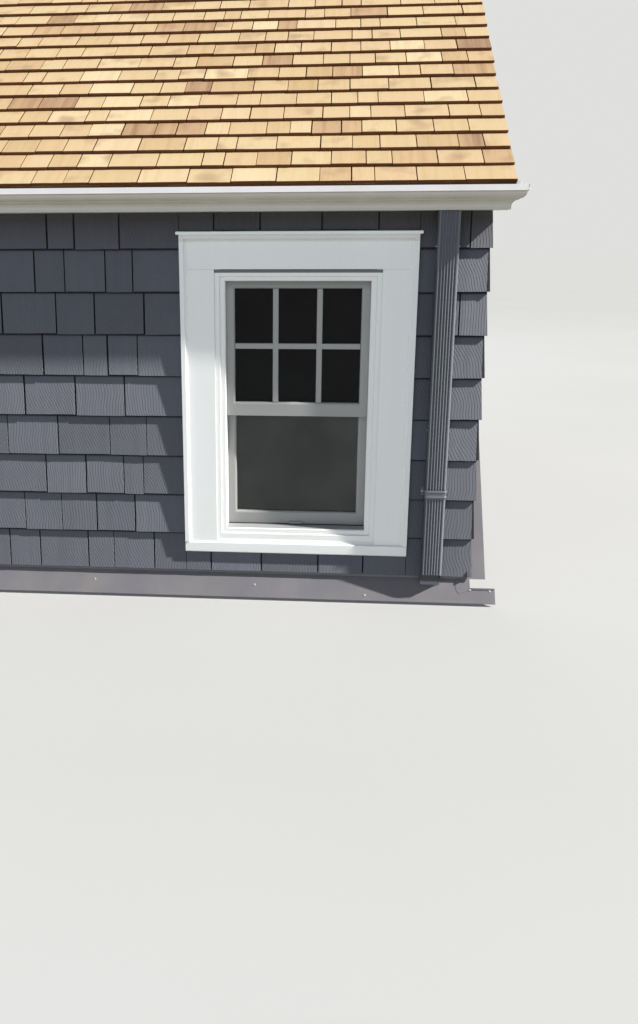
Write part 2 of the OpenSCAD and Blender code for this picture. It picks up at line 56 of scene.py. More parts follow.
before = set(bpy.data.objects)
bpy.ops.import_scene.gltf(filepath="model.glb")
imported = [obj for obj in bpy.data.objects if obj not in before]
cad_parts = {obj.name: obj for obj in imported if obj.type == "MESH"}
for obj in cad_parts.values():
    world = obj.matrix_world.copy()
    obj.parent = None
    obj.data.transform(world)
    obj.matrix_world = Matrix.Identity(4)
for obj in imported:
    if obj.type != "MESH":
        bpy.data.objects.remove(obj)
CAD_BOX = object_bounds()

Point = tuple[float, float, float]
Corner = tuple[float, float]
Colour = tuple[float, float, float]
Levels = tuple[float, float, float, float]
Feed = Any
BODY = "root"
ACROSS: Point = (1.0, 0.0, 0.0)
INWARD: Point = (0.0, 1.0, 0.0)
OUTWARD: Point = (0.0, -1.0, 0.0)
UPWARD: Point = (0.0, 0.0, 1.0)
PLAIN: Point = (0.5, 0.5, 0.0)
WHITE: Colour = (1.0, 1.0, 1.0)


class Side(Enum):
    """The two ends of the dormer."""

    RIGHT = 1.0
    LEFT = -1.0


class Axis(Enum):
    """The direction that the grain of a board runs in."""

    ACROSS = "x"
    UPRIGHT = "z"
    MAIN_SLOPE = "main slope"
    ROOF_SLOPE = "roof slope"


@dataclass(frozen=True)
class DormerSizes:
    """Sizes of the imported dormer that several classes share."""

    half_w: float = 1.830
    main_pitch: float = math.radians(52.0)
    roof_pitch: float = math.radians(35.0)
    fascia_t: float = 0.020
    deck_t: float = 0.012
    window_x: float = 1.134
    light_w: float = 0.554
    light_z: float = 0.198
    case_x: float = 0.448
    sill_low: float = 0.097
    cap_top: float = 1.359

    @property
    def main_k(self) -> float:
        """Rise of the main slope for each metre of depth."""
        return math.tan(self.main_pitch)

    @property
    def roof_k(self) -> float:
        """Rise of the dormer roof for each metre of depth."""
        return math.tan(self.roof_pitch)

    @property
    def gutter_z(self) -> float:
        """Height of the underside of the fascia and gutter."""
        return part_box("fascia")[0][2]

    @property
    def deck_front_z(self) -> float:
        """Height of the deck's upper face at the fascia."""
        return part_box("roof_deck")[0][2] + self.deck_t / math.cos(self.roof_pitch)

    @property
    def rake_under_z(self) -> float:
        """Height of the rake boards' lower edge at the front sheathing."""
        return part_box("rake_boards")[0][2]


SIZES = DormerSizes()


def linear(red: float, green: float, blue: float) -> Colour:
    """Turns a screen colour of 0 to 255 into the linear colour that a shader takes.

    Args:
        red: Red, 0 to 255.
        green: Green, 0 to 255.
        blue: Blue, 0 to 255.

    Returns:
        The linear colour.
    """
    def one(part: float) -> float:
        """Turns one part of the colour."""
        part /= 255.0
        return part / 12.92 if part <= 0.04045 else ((part + 0.055) / 1.055) ** 2.4
    return one(red), one(green), one(blue)


# Meshes


def shrunk(outline: Sequence[Corner], by: float) -> list[Corner]:
    """Moves every side of an anticlockwise outline inwards.

    Args:
        outline: Corners of the outline.
        by: Distance to move the sides by.

    Returns:
        The corners of the smaller outline.
    """
    count = len(outline)
    small = []
    for i, (s, t) in enumerate(outline):
        before, after = outline[i - 1], outline[(i + 1) % count]
        a = Vector((s - before[0], t - before[1])).normalized()
        b = Vector((after[0] - s, after[1] - t)).normalized()
        inward = Vector((-a.y - b.y, a.x + b.x))
        reach = by / max(0.25, inward.length_squared / 2.0)
        small.append((s + inward.x * reach, t + inward.y * reach))
    return small


def clipped(outline: Sequence[Corner], keep: Callable[[Corner], float]) -> list[Corner]:
    """Cuts an outline along a straight line.

    Args:
        outline: Corners of a convex outline.
        keep: Signed distance from the line, positive on the side that stays.

    Returns:
        The corners that are left, none where nothing is.
    """
    left = []
    for i, here in enumerate(outline):
        there = outline[(i + 1) % len(outline)]
        a, b = keep(here), keep(there)
        if a >= 0.0:
            left.append(here)
        if (a > 0.0 > b) or (a < 0.0 < b):
            f = a / (a - b)
            left.append((here[0] + f * (there[0] - here[0]), here[1] + f * (there[1] - here[1])))
    return left


def tidy_outline(outline: Sequence[Corner], least: float = 0.0015) -> list[Corner]:
    """Drops corners that lie almost on the one before.

    Args:
        outline: Corners of the outline.
        least: Shortest side that stays.

    Returns:
        The corners that are left.
    """
    kept: list[Corner] = []
    for corner in outline:
        if not kept or math.dist(corner, kept[-1]) > least:
            kept.append(corner)
    if len(kept) > 2 and math.dist(kept[0], kept[-1]) <= least:
        kept.pop()
    return kept


def area(outline: Sequence[Corner]) -> float:
    """Gives the area within an anticlockwise outline."""
    return sum(a[0] * b[1] - b[0] * a[1] for a, b in zip(outline, [*outline[1:], outline[0]])) / 2.0


def rectangle(left: float, right: float, low: float, high: float) -> list[Corner]:
    """Gives the corners of a rectangle, anticlockwise."""
    return [(left, low), (right, low), (right, high), (left, high)]


def arc(x: float, y: float, radius: float, start: float, turn: float, count: int) -> list[Corner]:
    """Gives points on an arc.

    Args:
        x: Centre, across.
        y: Centre, along.
        radius: Its radius.
        start: Where it starts, in degrees.
        turn: How far it goes on from there, in degrees, anticlockwise if positive.
        count: Number of steps.

    Returns:
        The points, both ends included.
    """
    turns = [math.radians(start + turn * k / count) for k in range(count + 1)]
    return [(x + radius * math.cos(a), y + radius * math.sin(a)) for a in turns]


def placed(name: str, data: Any) -> bpy.types.Object:
    """Makes an object and puts it into the scene.

    Args:
        name: Its name.
        data: Its mesh, lens or light.

    Returns:
        The object.
    """
    made = bpy.data.objects.new(name, data)
    bpy.context.scene.collection.objects.link(made)
    return made


@dataclass
class Pen:
    """Collects the corners and faces of one piece, with what its finish needs to know."""

    points: list[Point] = field(default_factory=list)
    faces: list[tuple[int, ...]] = field(default_factory=list)
    lay: list[Point] = field(default_factory=list)
    tone: list[Point] = field(default_factory=list)

    def put(self, point: Sequence[float], lay: Point, tone: Point = PLAIN) -> int:
        """Adds one corner.

        Args:
            point: Its place.
            lay: Distance across and along the grain, and a number that sets its grain apart.
            tone: Its board's tone and warmth, 0 to 1, and how far its finish darkens it, 1 at a shingle's
                butt and sides: painted shade, over the cedar butts' own dark end grain.

        Returns:
            The corner's number.
        """
        self.points.append(tuple(point))
        self.lay.append(lay)
        self.tone.append(tone)
        return len(self.points) - 1

    def face(self, corners: Sequence[int], turned: bool = False) -> None:
        """Adds one face, seen from the other side if turned."""
        self.faces.append(tuple(reversed(corners)) if turned else tuple(corners))

    def bands(self, rings: Sequence[Sequence[int]], turned: bool = False) -> None:
        """Joins rings of corners by faces and closes both ends.

        Args:
            rings: Rings of the same number of corners, from the first end to the last.
            turned: True where the rings run clockwise seen from the last end.
        """
        for low, high in zip(rings, rings[1:]):
            for i in range(len(low)):
                j = (i + 1) % len(low)
                self.face((low[i], low[j], high[j], high[i]), turned)
        self.face(list(reversed(rings[0])), turned)
        self.face(rings[-1], turned)

    def slab(self, outline: Sequence[Corner], place: Callable[[float, float, float], Point],
             under: Callable[[float], float], over: Callable[[float, float], float],
             start: float, seed: Point, turned: bool = False, ease: float = 0.0011) -> None:
        """Adds one tapered shingle with eased edges.

        Args:
            outline: Corners, across and along, anticlockwise seen from outside.
            place: Gives the point for a distance across, along and out.
            under: Gives the height of the inner face at a distance along.
            over: Gives the height of the outer face at a distance across and along.
            start: Distance along of the butt.
            seed: Tone, warmth and a number that sets its grain apart.
            turned: True where place mirrors the outline.
            ease: Width of the eased edge.
        """
        inner = shrunk(outline, ease)
        rings = []
        # The outline and eased rings get 1 in the third tone value, where the finishes paint the butts and
        # joints dark as shade.
        for corners, out, worn in ((outline, None, 1.0), (outline, 0.8 * ease, 1.0), (inner, 0.0, 0.0)):
            ring = []
            for s, t in corners:
                h = under(t) if out is None else max(over(s, t) - out, under(t) + 0.0004)
                lay = (s, t - start, seed[2])
                ring.append(self.put(place(s, t, h), lay, (seed[0], seed[1], worn)))
            rings.append(ring)
        self.bands(rings, turned)

    def prism(self, section: Sequence[Corner], base: Point, run: Point, wide: Point, deep: Point,
              seed: float = 0.0) -> None:
        """Adds a straight moulding.

        Args:
            section: Closed outline, across and out.
            base: Point that the section's origin starts at.
            run: Vector from the start to the end.
            wide: Unit vector of the section's first axis.
            deep: Unit vector of the section's second axis.
            seed: Number that sets its grain apart.
        """
        start, along = Vector(base), Vector(run)
        first, second = Vector(wide), Vector(deep)
        rings = [[self.put(start + along * stop + first * a + second * b, (a + b, stop * along.length, seed))
                  for a, b in section] for stop in (0.0, 1.0)]
        self.bands(rings, first.cross(second).dot(along) * area(section) < 0.0)

    def ring(self, spot: Vector, axis: Vector, size: Corner, along: float, count: int) -> list[int]:
        """Adds a ring of corners about an axis.

        Args:
            spot: Point on the axis.
            axis: Direction of the axis.
            size: Radius of the ring and its distance from the point.
            along: Distance along the grain.
            count: Number of corners.

        Returns:
            The corners' numbers.
        """
        turn = axis.to_track_quat("Z", "Y").to_matrix()
        radius, height = size
        corners = []
        for k in range(count):
            a = 2.0 * math.pi * k / count
            point = spot + turn @ Vector((radius * math.cos(a), radius * math.sin(a), height))
            corners.append(self.put(point, (a * radius, along, 0.0)))
        return corners

    def turning(self, profile: Sequence[Corner], centre: Point, axis: Point, count: int = 20) -> None:
        """Adds a turned shape, closed at both ends.

        Args:
            profile: Radius and distance along the axis, from the first end to the last.
            centre: Point on the axis where that distance is 0.
            axis: Direction of the axis.
            count: Number of sides.
        """
        spot, way = Vector(centre), Vector(axis)
        self.bands([self.ring(spot, way, size, size[1], count) for size in profile])

    def tube(self, path: Sequence[Point], radius: float, count: int = 8) -> None:
        """Adds a round bead along a path.

        Args:
            path: Points that it follows.
            radius: Its radius.
            count: Number of sides.
        """
        line = [Vector(p) for p in path]
        rings = []
        for i, spot in enumerate(line):
            ahead = (line[min(i + 1, len(line) - 1)] - line[max(i - 1, 0)]).normalized()
            rings.append(self.ring(spot, ahead, (radius, 0.0), i * 0.01, count))
        self.bands(rings)

    def piece(self, name: str, finish: "Finish", smooth: bool = False) -> bpy.types.Object:
        """Makes the piece and lets it ride on the dormer.

        Args:
            name: Name of the piece.
            finish: Its finish.
            smooth: True for round shapes.

        Returns:
            The new object.
        """
        mesh = bpy.data.meshes.new(name)
        mesh.from_pydata(self.points, [], self.faces)
        for label, values in (("lay", self.lay), ("tone", self.tone)):
            layer = mesh.attributes.new(label, "FLOAT_VECTOR", "POINT")
            layer.data.foreach_set("vector", [part for value in values for part in value])
        mesh.polygons.foreach_set("use_smooth", [smooth] * len(mesh.polygons))
        mesh.update()
        if smooth:
            mesh.set_sharp_from_angle(angle=math.radians(35.0))
        mesh.materials.append(finish.material())
        made = placed(name, mesh)
        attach(made, BODY)
        log.info("%s: %d faces", name, len(mesh.polygons))
        return made


# Shader nodes

# Numbers of a Mix node's colour sockets
MIX_FIRST = 6
MIX_SECOND = 7
MIX_RESULT = 2


@dataclass(frozen=True)
class Mixer:
    """Adds and joins the nodes of a tree. Effects, finishes and the room each have their own."""

    name: str

    @property
    def tree(self) -> bpy.types.NodeTree:
        """The tree that the nodes go into."""
        raise NotImplementedError

    def node(self, kind: str, *terms: Feed, **settings: Any) -> bpy.types.Node:
        """Adds a node.

        Args:
            kind: Its kind.
            terms: What its first inputs take, in order.
            settings: Its settings.

        Returns:
            The node.
        """
        made = self.tree.nodes.new(kind)
        for key, value in settings.items():
            setattr(made, key, value)
        for socket, term in zip(made.inputs, terms):
            self.feed(socket, term)
        return made

    def feed(self, socket: bpy.types.NodeSocket, value: Feed) -> None:
        """Links an output to a socket, or sets the socket to a plain value.

        Args:
            socket: The socket.
            value: The output or the plain value.
        """
        if isinstance(value, bpy.types.NodeSocket):
            self.tree.links.new(value, socket)
        elif isinstance(value, tuple) and len(value) == 3 and socket.type == "RGBA":
            socket.default_value = (*value, 1.0)
        else:
            socket.default_value = value

    def maths(self, operation: str, *terms: Feed, clamp: bool = False) -> bpy.types.NodeSocket:
        """Adds a Math node and gives its result."""
        return self.node("ShaderNodeMath", *terms, operation=operation, use_clamp=clamp).outputs[0]

    def times(self, first: Feed, second: Feed) -> bpy.types.NodeSocket:
        """Multiplies two values."""
        return self.maths("MULTIPLY", first, second)

    def vector(self, operation: str, *terms: Feed) -> bpy.types.NodeSocket:
        """Adds a Vector Math node and gives its result."""
        made = self.node("ShaderNodeVectorMath", *terms, operation=operation)
        return made.outputs["Value" if operation == "DOT_PRODUCT" else "Vector"]

    def joined(self, x: Feed, y: Feed, z: Feed) -> bpy.types.NodeSocket:
        """Makes a vector of three values."""
        return self.node("ShaderNodeCombineXYZ", x, y, z).outputs[0]

    def parts(self, vector: Feed) -> Sequence[bpy.types.NodeSocket]:
        """Splits a vector into its three values."""
        return self.node("ShaderNodeSeparateXYZ", vector).outputs

    def noise(self, place: Feed, scale: Feed, detail: float = 2.0, rough: float = 0.5,
              twist: float = 0.0) -> bpy.types.NodeSocket:
        """Adds a noise texture and gives its value.

        Args:
            place: Vector that it is read at.
            scale: Its scale.
            detail: Number of finer layers.
            rough: Weight of the finer layers.
            twist: Its distortion.

        Returns:
            The value, about 0.3 to 0.7.
        """
        made = self.node("ShaderNodeTexNoise")
        for key, value in (("Vector", place), ("Scale", scale), ("Detail", detail),
                           ("Roughness", rough), ("Distortion", twist)):
            self.feed(made.inputs[key], value)
        return made.outputs["Fac"]

    def ranged(self, value: Feed, low: float, high: float, start: float = 0.0,
               stop: float = 1.0) -> bpy.types.NodeSocket:
        """Maps low to high onto start to stop, without going past them."""
        return self.node("ShaderNodeMapRange", value, low, high, start, stop).outputs[0]

    def ramp(self, value: Feed, stops: Sequence[tuple[float, Colour]]) -> bpy.types.NodeSocket:
        """Adds a colour ramp.

        Args:
            value: Value that it is read at.
            stops: Places and linear colours.

        Returns:
            Its colour.
        """
        made = self.node("ShaderNodeValToRGB", value)
        band = made.color_ramp
        while len(band.elements) < len(stops):
            band.elements.new(1.0)
        for element, (spot, colour) in zip(band.elements, stops):
            element.position = spot
            element.color = (*colour, 1.0)
        return made.outputs[0]

    def blend(self, share: Feed, first: Feed, second: Feed, way: str = "MIX") -> bpy.types.NodeSocket:
        """Mixes two colours.

        Args:
            share: How much of the second goes in.
            first: The first colour.
            second: The second colour.
            way: MIX or MULTIPLY.

        Returns:
            The mixed colour.
        """
        made = self.node("ShaderNodeMix", share, data_type="RGBA", blend_type=way)
        self.feed(made.inputs[MIX_FIRST], first)
        self.feed(made.inputs[MIX_SECOND], second)
        return made.outputs[MIX_RESULT]

    def layered(self, base: Feed, *coats: tuple[Feed, float, Colour]) -> Feed:
        """Lays colours over a base.

        Args:
            base: The base colour.
            coats: Mask, weight and colour of each, from the lowest to the top one.

        Returns:
            The colour that shows.
        """
        for mask, weight, colour in coats:
            base = self.blend(self.times(mask, weight), base, colour)
        return base

    def toned(self, base: Feed, value: Feed, stops: Sequence[tuple[float, Colour]]) -> bpy.types.NodeSocket:
        """Multiplies a colour by a ramp that is read at a value."""
        return self.blend(1.0, base, self.ramp(value, stops), "MULTIPLY")

    def relief(self, height: Feed, depth: float, strength: float) -> bpy.types.NodeSocket:
        """Adds a Bump node.

        Args:
            height: Height of the surface, about 0 to 1.
            depth: Depth in metres that a height of 1 stands for.
            strength: Share of the relief that shows.

        Returns:
            The normal.
        """
        made = self.node("ShaderNodeBump")
        made.inputs["Strength"].default_value = strength
        made.inputs["Distance"].default_value = depth
        self.feed(made.inputs["Height"], height)
        return made.outputs[0]

    def effect(self, effect: "Effect", **inputs: Feed) -> Any:
        """Places a shared effect.

        Args:
            effect: The effect.
            inputs: What its inputs take.

        Returns:
            Its outputs.
        """
        made = self.node("ShaderNodeGroup", node_tree=effect.group())
        for key, value in inputs.items():
            self.feed(made.inputs[key], value)
        return made.outputs

    def object_place(self) -> bpy.types.NodeSocket:
        """Gives the place in the dormer's frame."""
        return self.node("ShaderNodeTexCoord").outputs["Object"]

    def attribute(self, label: str) -> bpy.types.NodeSocket:
        """Gives a vector that the piece's mesh carries."""
        return self.node("ShaderNodeAttribute", attribute_name=label).outputs["Vector"]


@dataclass(frozen=True)
class Effect(Mixer):
    """A look that several finishes share, as a node group."""

    inputs: tuple[str, ...]
    outputs: tuple[str, ...]

    @property
    def tree(self) -> bpy.types.NodeTree:
        """The group's nodes."""
        return bpy.data.node_groups[self.name]

    @property
    def given(self) -> Any:
        """What the group is given."""
        return self.tree.nodes["Group Input"].outputs

    def group(self) -> bpy.types.NodeTree:
        """Gives the node group, built on its first use.

        Returns:
            The group.
        """
        if self.name not in bpy.data.node_groups:
            made = bpy.data.node_groups.new(self.name, "ShaderNodeTree")
            for label in self.inputs:
                kind = "NodeSocketVector" if label in ("Lay", "Place") else "NodeSocketFloat"
                made.interface.new_socket(label, in_out="INPUT", socket_type=kind)
            for label in self.outputs:
                made.interface.new_socket(label, in_out="OUTPUT", socket_type="NodeSocketFloat")
            self.node("NodeGroupInput")
            taken = self.node("NodeGroupOutput").inputs
            for label, value in self.build().items():
                self.feed(taken[label], value)
        return self.tree

    def build(self) -> dict[str, Feed]:
        """Fills the group.

        Returns:
            What each output takes.
        """
        raise NotImplementedError


class Grain(Effect):
    """Wood grain or brush marks that run along the second part of Lay."""

    def build(self) -> dict[str, Feed]:
        """Fills the group.

        Returns:
            What each output takes.
        """
        x, y, z = self.parts(self.given["Lay"])
        drawn = self.joined(x, self.times(y, self.given["Reach"]), self.times(z, 3.7))
        streaks = self.ranged(self.noise(drawn, self.given["Coarse"], 3.0, 0.55, 0.35), 0.3, 0.7)
        fibres = self.ranged(self.noise(drawn, self.given["Fine"], 2.0, 0.6, 0.15), 0.3, 0.7)
        relief = self.maths("ADD", self.times(streaks, 0.45), self.times(fibres, 0.55))
        return {"Streaks": streaks, "Fibres": fibres, "Relief": relief}


class Weather(Effect):
    """Rain streaks and blotches of dust over the whole piece."""

    def build(self) -> dict[str, Feed]:
        """Fills the group.

        Returns:
            What each output takes.
        """
        x, y, z = self.parts(self.given["Place"])
        run = self.joined(x, y, self.times(z, self.given["Run"]))
        streaks = self.ranged(self.noise(run, self.given["Scale"], 3.0, 0.6), 0.42, 0.72)
        blotches = self.ranged(self.noise(self.given["Place"], self.given["Scale"], 4.0, 0.65, 0.5), 0.4, 0.7)
        specks = self.ranged(self.noise(self.given["Place"], 210.0, 2.0, 0.7), 0.62, 0.72)
        return {"Streaks": streaks, "Blotches": blotches, "Specks": specks}


class CreviceShade(Effect):
    """Darkening in corners and hollows, read from ambient occlusion and mottled: painted shade."""

    def build(self) -> dict[str, Feed]:
        """Fills the group.

        Returns:
            What each output takes.
        """
        open_sky = self.node("ShaderNodeAmbientOcclusion", samples=6)
        self.feed(open_sky.inputs["Distance"], self.given["Reach"])
        closed = self.maths("SUBTRACT", 1.0, open_sky.outputs["AO"])
        patchy = self.ranged(self.noise(self.given["Place"], 24.0, 3.0, 0.6), 0.3, 0.65, 0.35, 1.0)
        return {"Dirt": self.times(self.ranged(closed, 0.25, 0.85), patchy)}


class WornEdges(Effect):
    """Edges where the coat has thinned."""

    def build(self) -> dict[str, Feed]:
        """Fills the group.

        Returns:
            What each output takes.
        """
        eased = self.node("ShaderNodeBevel", samples=4)
        self.feed(eased.inputs["Radius"], self.given["Width"])
        flat = self.node("ShaderNodeNewGeometry").outputs["Normal"]
        bend = self.maths("SUBTRACT", 1.0, self.vector("DOT_PRODUCT", eased.outputs[0], flat))
        patchy = self.ranged(self.noise(self.given["Place"], 60.0, 4.0, 0.7), 0.45, 0.62)
        return {"Wear": self.times(self.ranged(bend, 0.02, 0.2), patchy)}


class SawMarks(Effect):
    """Shallow ridges left by a saw, slanted and bent in each board's own way."""

    def build(self) -> dict[str, Feed]:
        """Fills the group.

        Returns:
            What each output takes.
        """
        x, y, z = self.parts(self.given["Lay"])
        slant = self.maths("MULTIPLY_ADD", self.maths("SINE", self.times(z, 7.3)), 0.8, 0.5)
        slant = self.times(slant, self.given["Slant"])
        spot = self.joined(self.times(x, 3.0), self.times(y, 7.0), z)
        drift = self.noise(spot, 1.0, 1.0)
        across = self.maths("MULTIPLY_ADD", y, slant, x)
        across = self.maths("MULTIPLY_ADD", drift, self.given["Bend"], across)
        turn = self.maths("FRACT", self.times(across, self.given["Count"]))
        steep = self.maths("DIVIDE", turn, 0.2)
        long_flank = self.maths("DIVIDE", self.maths("SUBTRACT", 1.0, turn), 0.8)
        patchy = self.ranged(self.noise(self.given["Lay"], 17.0, 2.0), 0.35, 0.6, 0.6, 1.0)
        return {"Ridges": self.times(self.maths("MINIMUM", steep, long_flank), patchy)}


class UndersideShade(Effect):
    """Faces that look down, darkened a little unevenly: painted shade."""

    def build(self) -> dict[str, Feed]:
        """Fills the group.

        Returns:
            What each output takes.
        """
        rise = self.parts(self.node("ShaderNodeNewGeometry").outputs["Normal"])[2]
        patchy = self.ranged(self.noise(self.given["Place"], 9.0, 3.0, 0.6), 0.3, 0.6, 0.7, 1.0)
        return {"Soot": self.times(self.ranged(rise, -0.12, -0.70), patchy)}


class Boards(Effect):
    """Boards laid side by side, each of its own tone, with open joints."""

    def build(self) -> dict[str, Feed]:
        """Fills the group.

        Returns:
            What each output takes.
        """
        count = self.maths("DIVIDE", self.given["Across"], self.given["Width"])
        board = self.maths("FLOOR", count)
        inside = self.maths("FRACT", count)
        edge = self.maths("MINIMUM", inside, self.maths("SUBTRACT", 1.0, inside))
        draw = self.node("ShaderNodeTexWhiteNoise", noise_dimensions="1D")
        self.feed(draw.inputs["W"], board)
        return {"Tone": draw.outputs["Value"], "Joint": self.ranged(edge, 0.006, 0.018, 1.0, 0.0)}


GRAIN = Grain("wood_grain", ("Lay", "Coarse", "Fine", "Reach"), ("Streaks", "Fibres", "Relief"))
WEATHER = Weather("weather_marks", ("Place", "Scale", "Run"), ("Streaks", "Blotches", "Specks"))
CREVICE_SHADE = CreviceShade("crevice_shade", ("Place", "Reach"), ("Dirt",))
WORN_EDGES = WornEdges("worn_edges", ("Place", "Width"), ("Wear",))
SAW_MARKS = SawMarks("saw_marks", ("Lay", "Slant", "Bend", "Count"), ("Ridges",))
UNDERSIDE_SHADE = UndersideShade("shade_below", ("Place",), ("Soot",))
BOARDS = Boards("laid_boards", ("Across", "Width"), ("Tone", "Joint"))


# Finishes


@dataclass(frozen=True)
class Finish(Mixer):
    """A finish, made into a material once."""

    @property
    def tree(self) -> bpy.types.NodeTree:
        """The material's nodes."""
        return bpy.data.materials[self.name].node_tree

    @property
    def shader(self) -> Any:
        """The sockets of the material's shader."""
        return self.tree.nodes["Principled BSDF"].inputs

    def material(self) -> bpy.types.Material:
        """Gives the material, built on its first use.

        Returns:
            The material.
        """
        if self.name not in bpy.data.materials:
            made = bpy.data.materials.new(self.name)
            made.use_nodes = True
            self.tree.nodes.clear()
            shader = self.node("ShaderNodeBsdfPrincipled")
            self.node("ShaderNodeOutputMaterial", shader.outputs[0])
            self.dress()
        return bpy.data.materials[self.name]

    def dress(self) -> None:
        """Feeds the shader's sockets."""
        raise NotImplementedError

    def surface(self, base: Feed, gloss: tuple[Feed, float, float], normal: Feed = None) -> None:
        """Feeds the sockets that most finishes use.

        Args:
            base: The colour.
            gloss: A mask, and the roughness where it is 0 and where it is 1.
            normal: The normal, if the surface has any relief.
        """
        mask, least, most = gloss
        self.feed(self.shader["Base Color"], base)
        self.feed(self.shader["Roughness"], self.ranged(mask, 0.0, 1.0, least, most))
        if normal is not None:
            self.feed(self.shader["Normal"], normal)

    def sloped(self, y: Feed, z: Feed, pitch: float) -> bpy.types.NodeSocket:
        """Gives the distance up a slope of the given pitch."""
        return self.maths("ADD", self.times(y, math.cos(pitch)), self.times(z, math.sin(pitch)))

    def board_lay(self, axis: Axis) -> bpy.types.NodeSocket:
        """Gives a place on a CAD board with the grain along its second part.

        Args:
            axis: Direction of the grain.

        Returns:
            The vector.
        """
        x, y, z = self.parts(self.object_place())
        if axis is Axis.ACROSS:
            return self.joined(self.maths("ADD", y, z), x, y)
        if axis is Axis.UPRIGHT:
            return self.joined(self.maths("ADD", x, y), z, x)
        pitch = SIZES.main_pitch if axis is Axis.MAIN_SLOPE else SIZES.roof_pitch
        out = self.maths("SUBTRACT", self.times(z, math.cos(pitch)), self.times(y, math.sin(pitch)))
        return self.joined(self.maths("ADD", x, out), self.sloped(y, z, pitch), x)


@dataclass(frozen=True)
class BareCedar(Finish):
    """New cedar, each shingle of its own tone, with dark sawn butts darkened further as painted shade, and
    painted shade in the joints and under each course above.
    """

    stops: tuple[tuple[float, Colour], ...] = (
        (0.00, linear(126, 96, 72)), (0.03, linear(150, 120, 90)), (0.09, linear(171, 144, 106)),
        (0.22, linear(182, 158, 120)), (0.50, linear(189, 169, 131)), (0.76, linear(186, 163, 126)),
        (1.00, linear(198, 181, 147)),
    )
    smear: Colour = linear(140, 108, 84)
    blush: Colour = linear(184, 154, 122)
    # Dark end grain of the butts and sides, darkened further as painted shade.
    butt: Colour = linear(98, 56, 20)
    # Painted shade in the band under the course above.
    lap: Colour = linear(84, 54, 32)
    exposure: float = 0.112

    def dress(self) -> None:
        """Feeds the shader's sockets."""
        lay = self.attribute("lay")
        across, along, seed = self.parts(lay)
        tone, warm, edge = self.parts(self.attribute("tone"))
        grain = self.effect(GRAIN, Lay=lay, Coarse=30.0, Fine=300.0, Reach=0.04)
        saw = self.effect(SAW_MARKS, Lay=lay, Slant=0.10, Bend=0.02, Count=140.0)["Ridges"]
        spot = self.joined(self.times(across, 8.0), self.times(along, 7.0), seed)
        stain = self.ranged(self.noise(spot, 1.0, 2.0, 0.45), 0.57, 0.76)
        drift = self.maths("MULTIPLY_ADD", grain["Streaks"], 0.08, -0.04)
        base = self.ramp(self.maths("ADD", tone, drift, clamp=True), self.stops)
        base = self.layered(base, (warm, 0.45, self.blush), (stain, 0.6, self.smear))
        base = self.toned(base, grain["Streaks"], ((0.0, (0.95, 0.93, 0.90)), (0.5, WHITE)))
        base = self.toned(base, grain["Fibres"], ((0.0, (0.96, 0.95, 0.93)), (1.0, (1.02, 1.02, 1.02))))
        # Painted shade in a band just under the butts of the course above.
        under = self.ranged(along, self.exposure - 0.006, self.exposure - 0.001, 0.0, 0.8)
        base = self.blend(under, base, self.lap)
        # Butts and sides of each shingle: dark end grain, darkened further as painted shade.
        base = self.blend(self.ranged(edge, 0.45, 0.95), base, self.butt)
        height = self.maths("MULTIPLY_ADD", saw, 0.6, self.times(grain["Relief"], 0.5))
        self.surface(base, (grain["Fibres"], 0.66, 0.88), self.relief(height, 0.0006, 0.4))


@dataclass(frozen=True)
class PaintedShingle(Finish):
    """Charcoal paint over sawn shingles, with painted shade in the joints, under each course above and under
    the eave.
    """

    base: Colour = linear(91, 93, 104)
    brown: Colour = linear(76, 76, 81)
    pale: Colour = linear(112, 115, 124)
    # Near-black colour of the painted shade in the joints and under each course above.
    gap: Colour = linear(14, 15, 23)
    soot: Colour = linear(58, 54, 50)
    shade_share: float = 0.68
    eave_shade_from: float = 1.27
    eave_shade_to: float = 1.40
    exposure: float = 0.160
    ridge: float = 0.0009
    lean: float = 0.36

    def dress(self) -> None:
        """Feeds the shader's sockets."""
        lay, place = self.attribute("lay"), self.object_place()
        along = self.parts(lay)[1]
        tone, warm, edge = self.parts(self.attribute("tone"))
        grain = self.effect(GRAIN, Lay=lay, Coarse=42.0, Fine=260.0, Reach=0.03)
        saw = self.effect(SAW_MARKS, Lay=lay, Slant=0.36, Bend=0.07, Count=88.0)["Ridges"]
        marks = self.effect(WEATHER, Place=place, Scale=3.0, Run=0.15)
        light = self.maths("MULTIPLY_ADD", tone, 0.20, 0.90)
        for streaks, share, rest in ((grain["Streaks"], 0.12, 0.94), (marks["Streaks"], 0.10, 0.95)):
            light = self.times(light, self.maths("MULTIPLY_ADD", streaks, share, rest))
        base = self.blend(1.0, self.base, self.joined(light, light, light), "MULTIPLY")
        base = self.layered(base, (warm, 0.4, self.brown), (marks["Blotches"], 0.10, self.pale))
        # Painted shade in a band just under the butts of the course above.
        shade = self.ranged(along, self.exposure - 0.010, self.exposure - 0.004, 0.0, 0.95)
        base = self.blend(shade, base, self.gap)
        # Painted shade over the top of the front wall, under the gutter.
        _, depth, height = self.parts(place)
        eave = self.ranged(height, self.eave_shade_from, self.eave_shade_to, 0.0, self.shade_share)
        front = self.ranged(depth, -0.004, 0.004, 1.0, 0.0)
        base = self.blend(self.times(eave, front), base, self.soot)
        # Painted shade on the sides and butts of each shingle, darkening the joints.
        base = self.blend(self.ranged(edge, 0.35, 0.95), base, self.gap)
        raised = self.maths("MULTIPLY_ADD", grain["Relief"], 0.15, saw)
        raised = self.maths("MULTIPLY_ADD", along, -self.lean / self.ridge, raised)
        self.surface(base, (grain["Streaks"], 0.52, 0.66), self.relief(raised, self.ridge, 1.0))


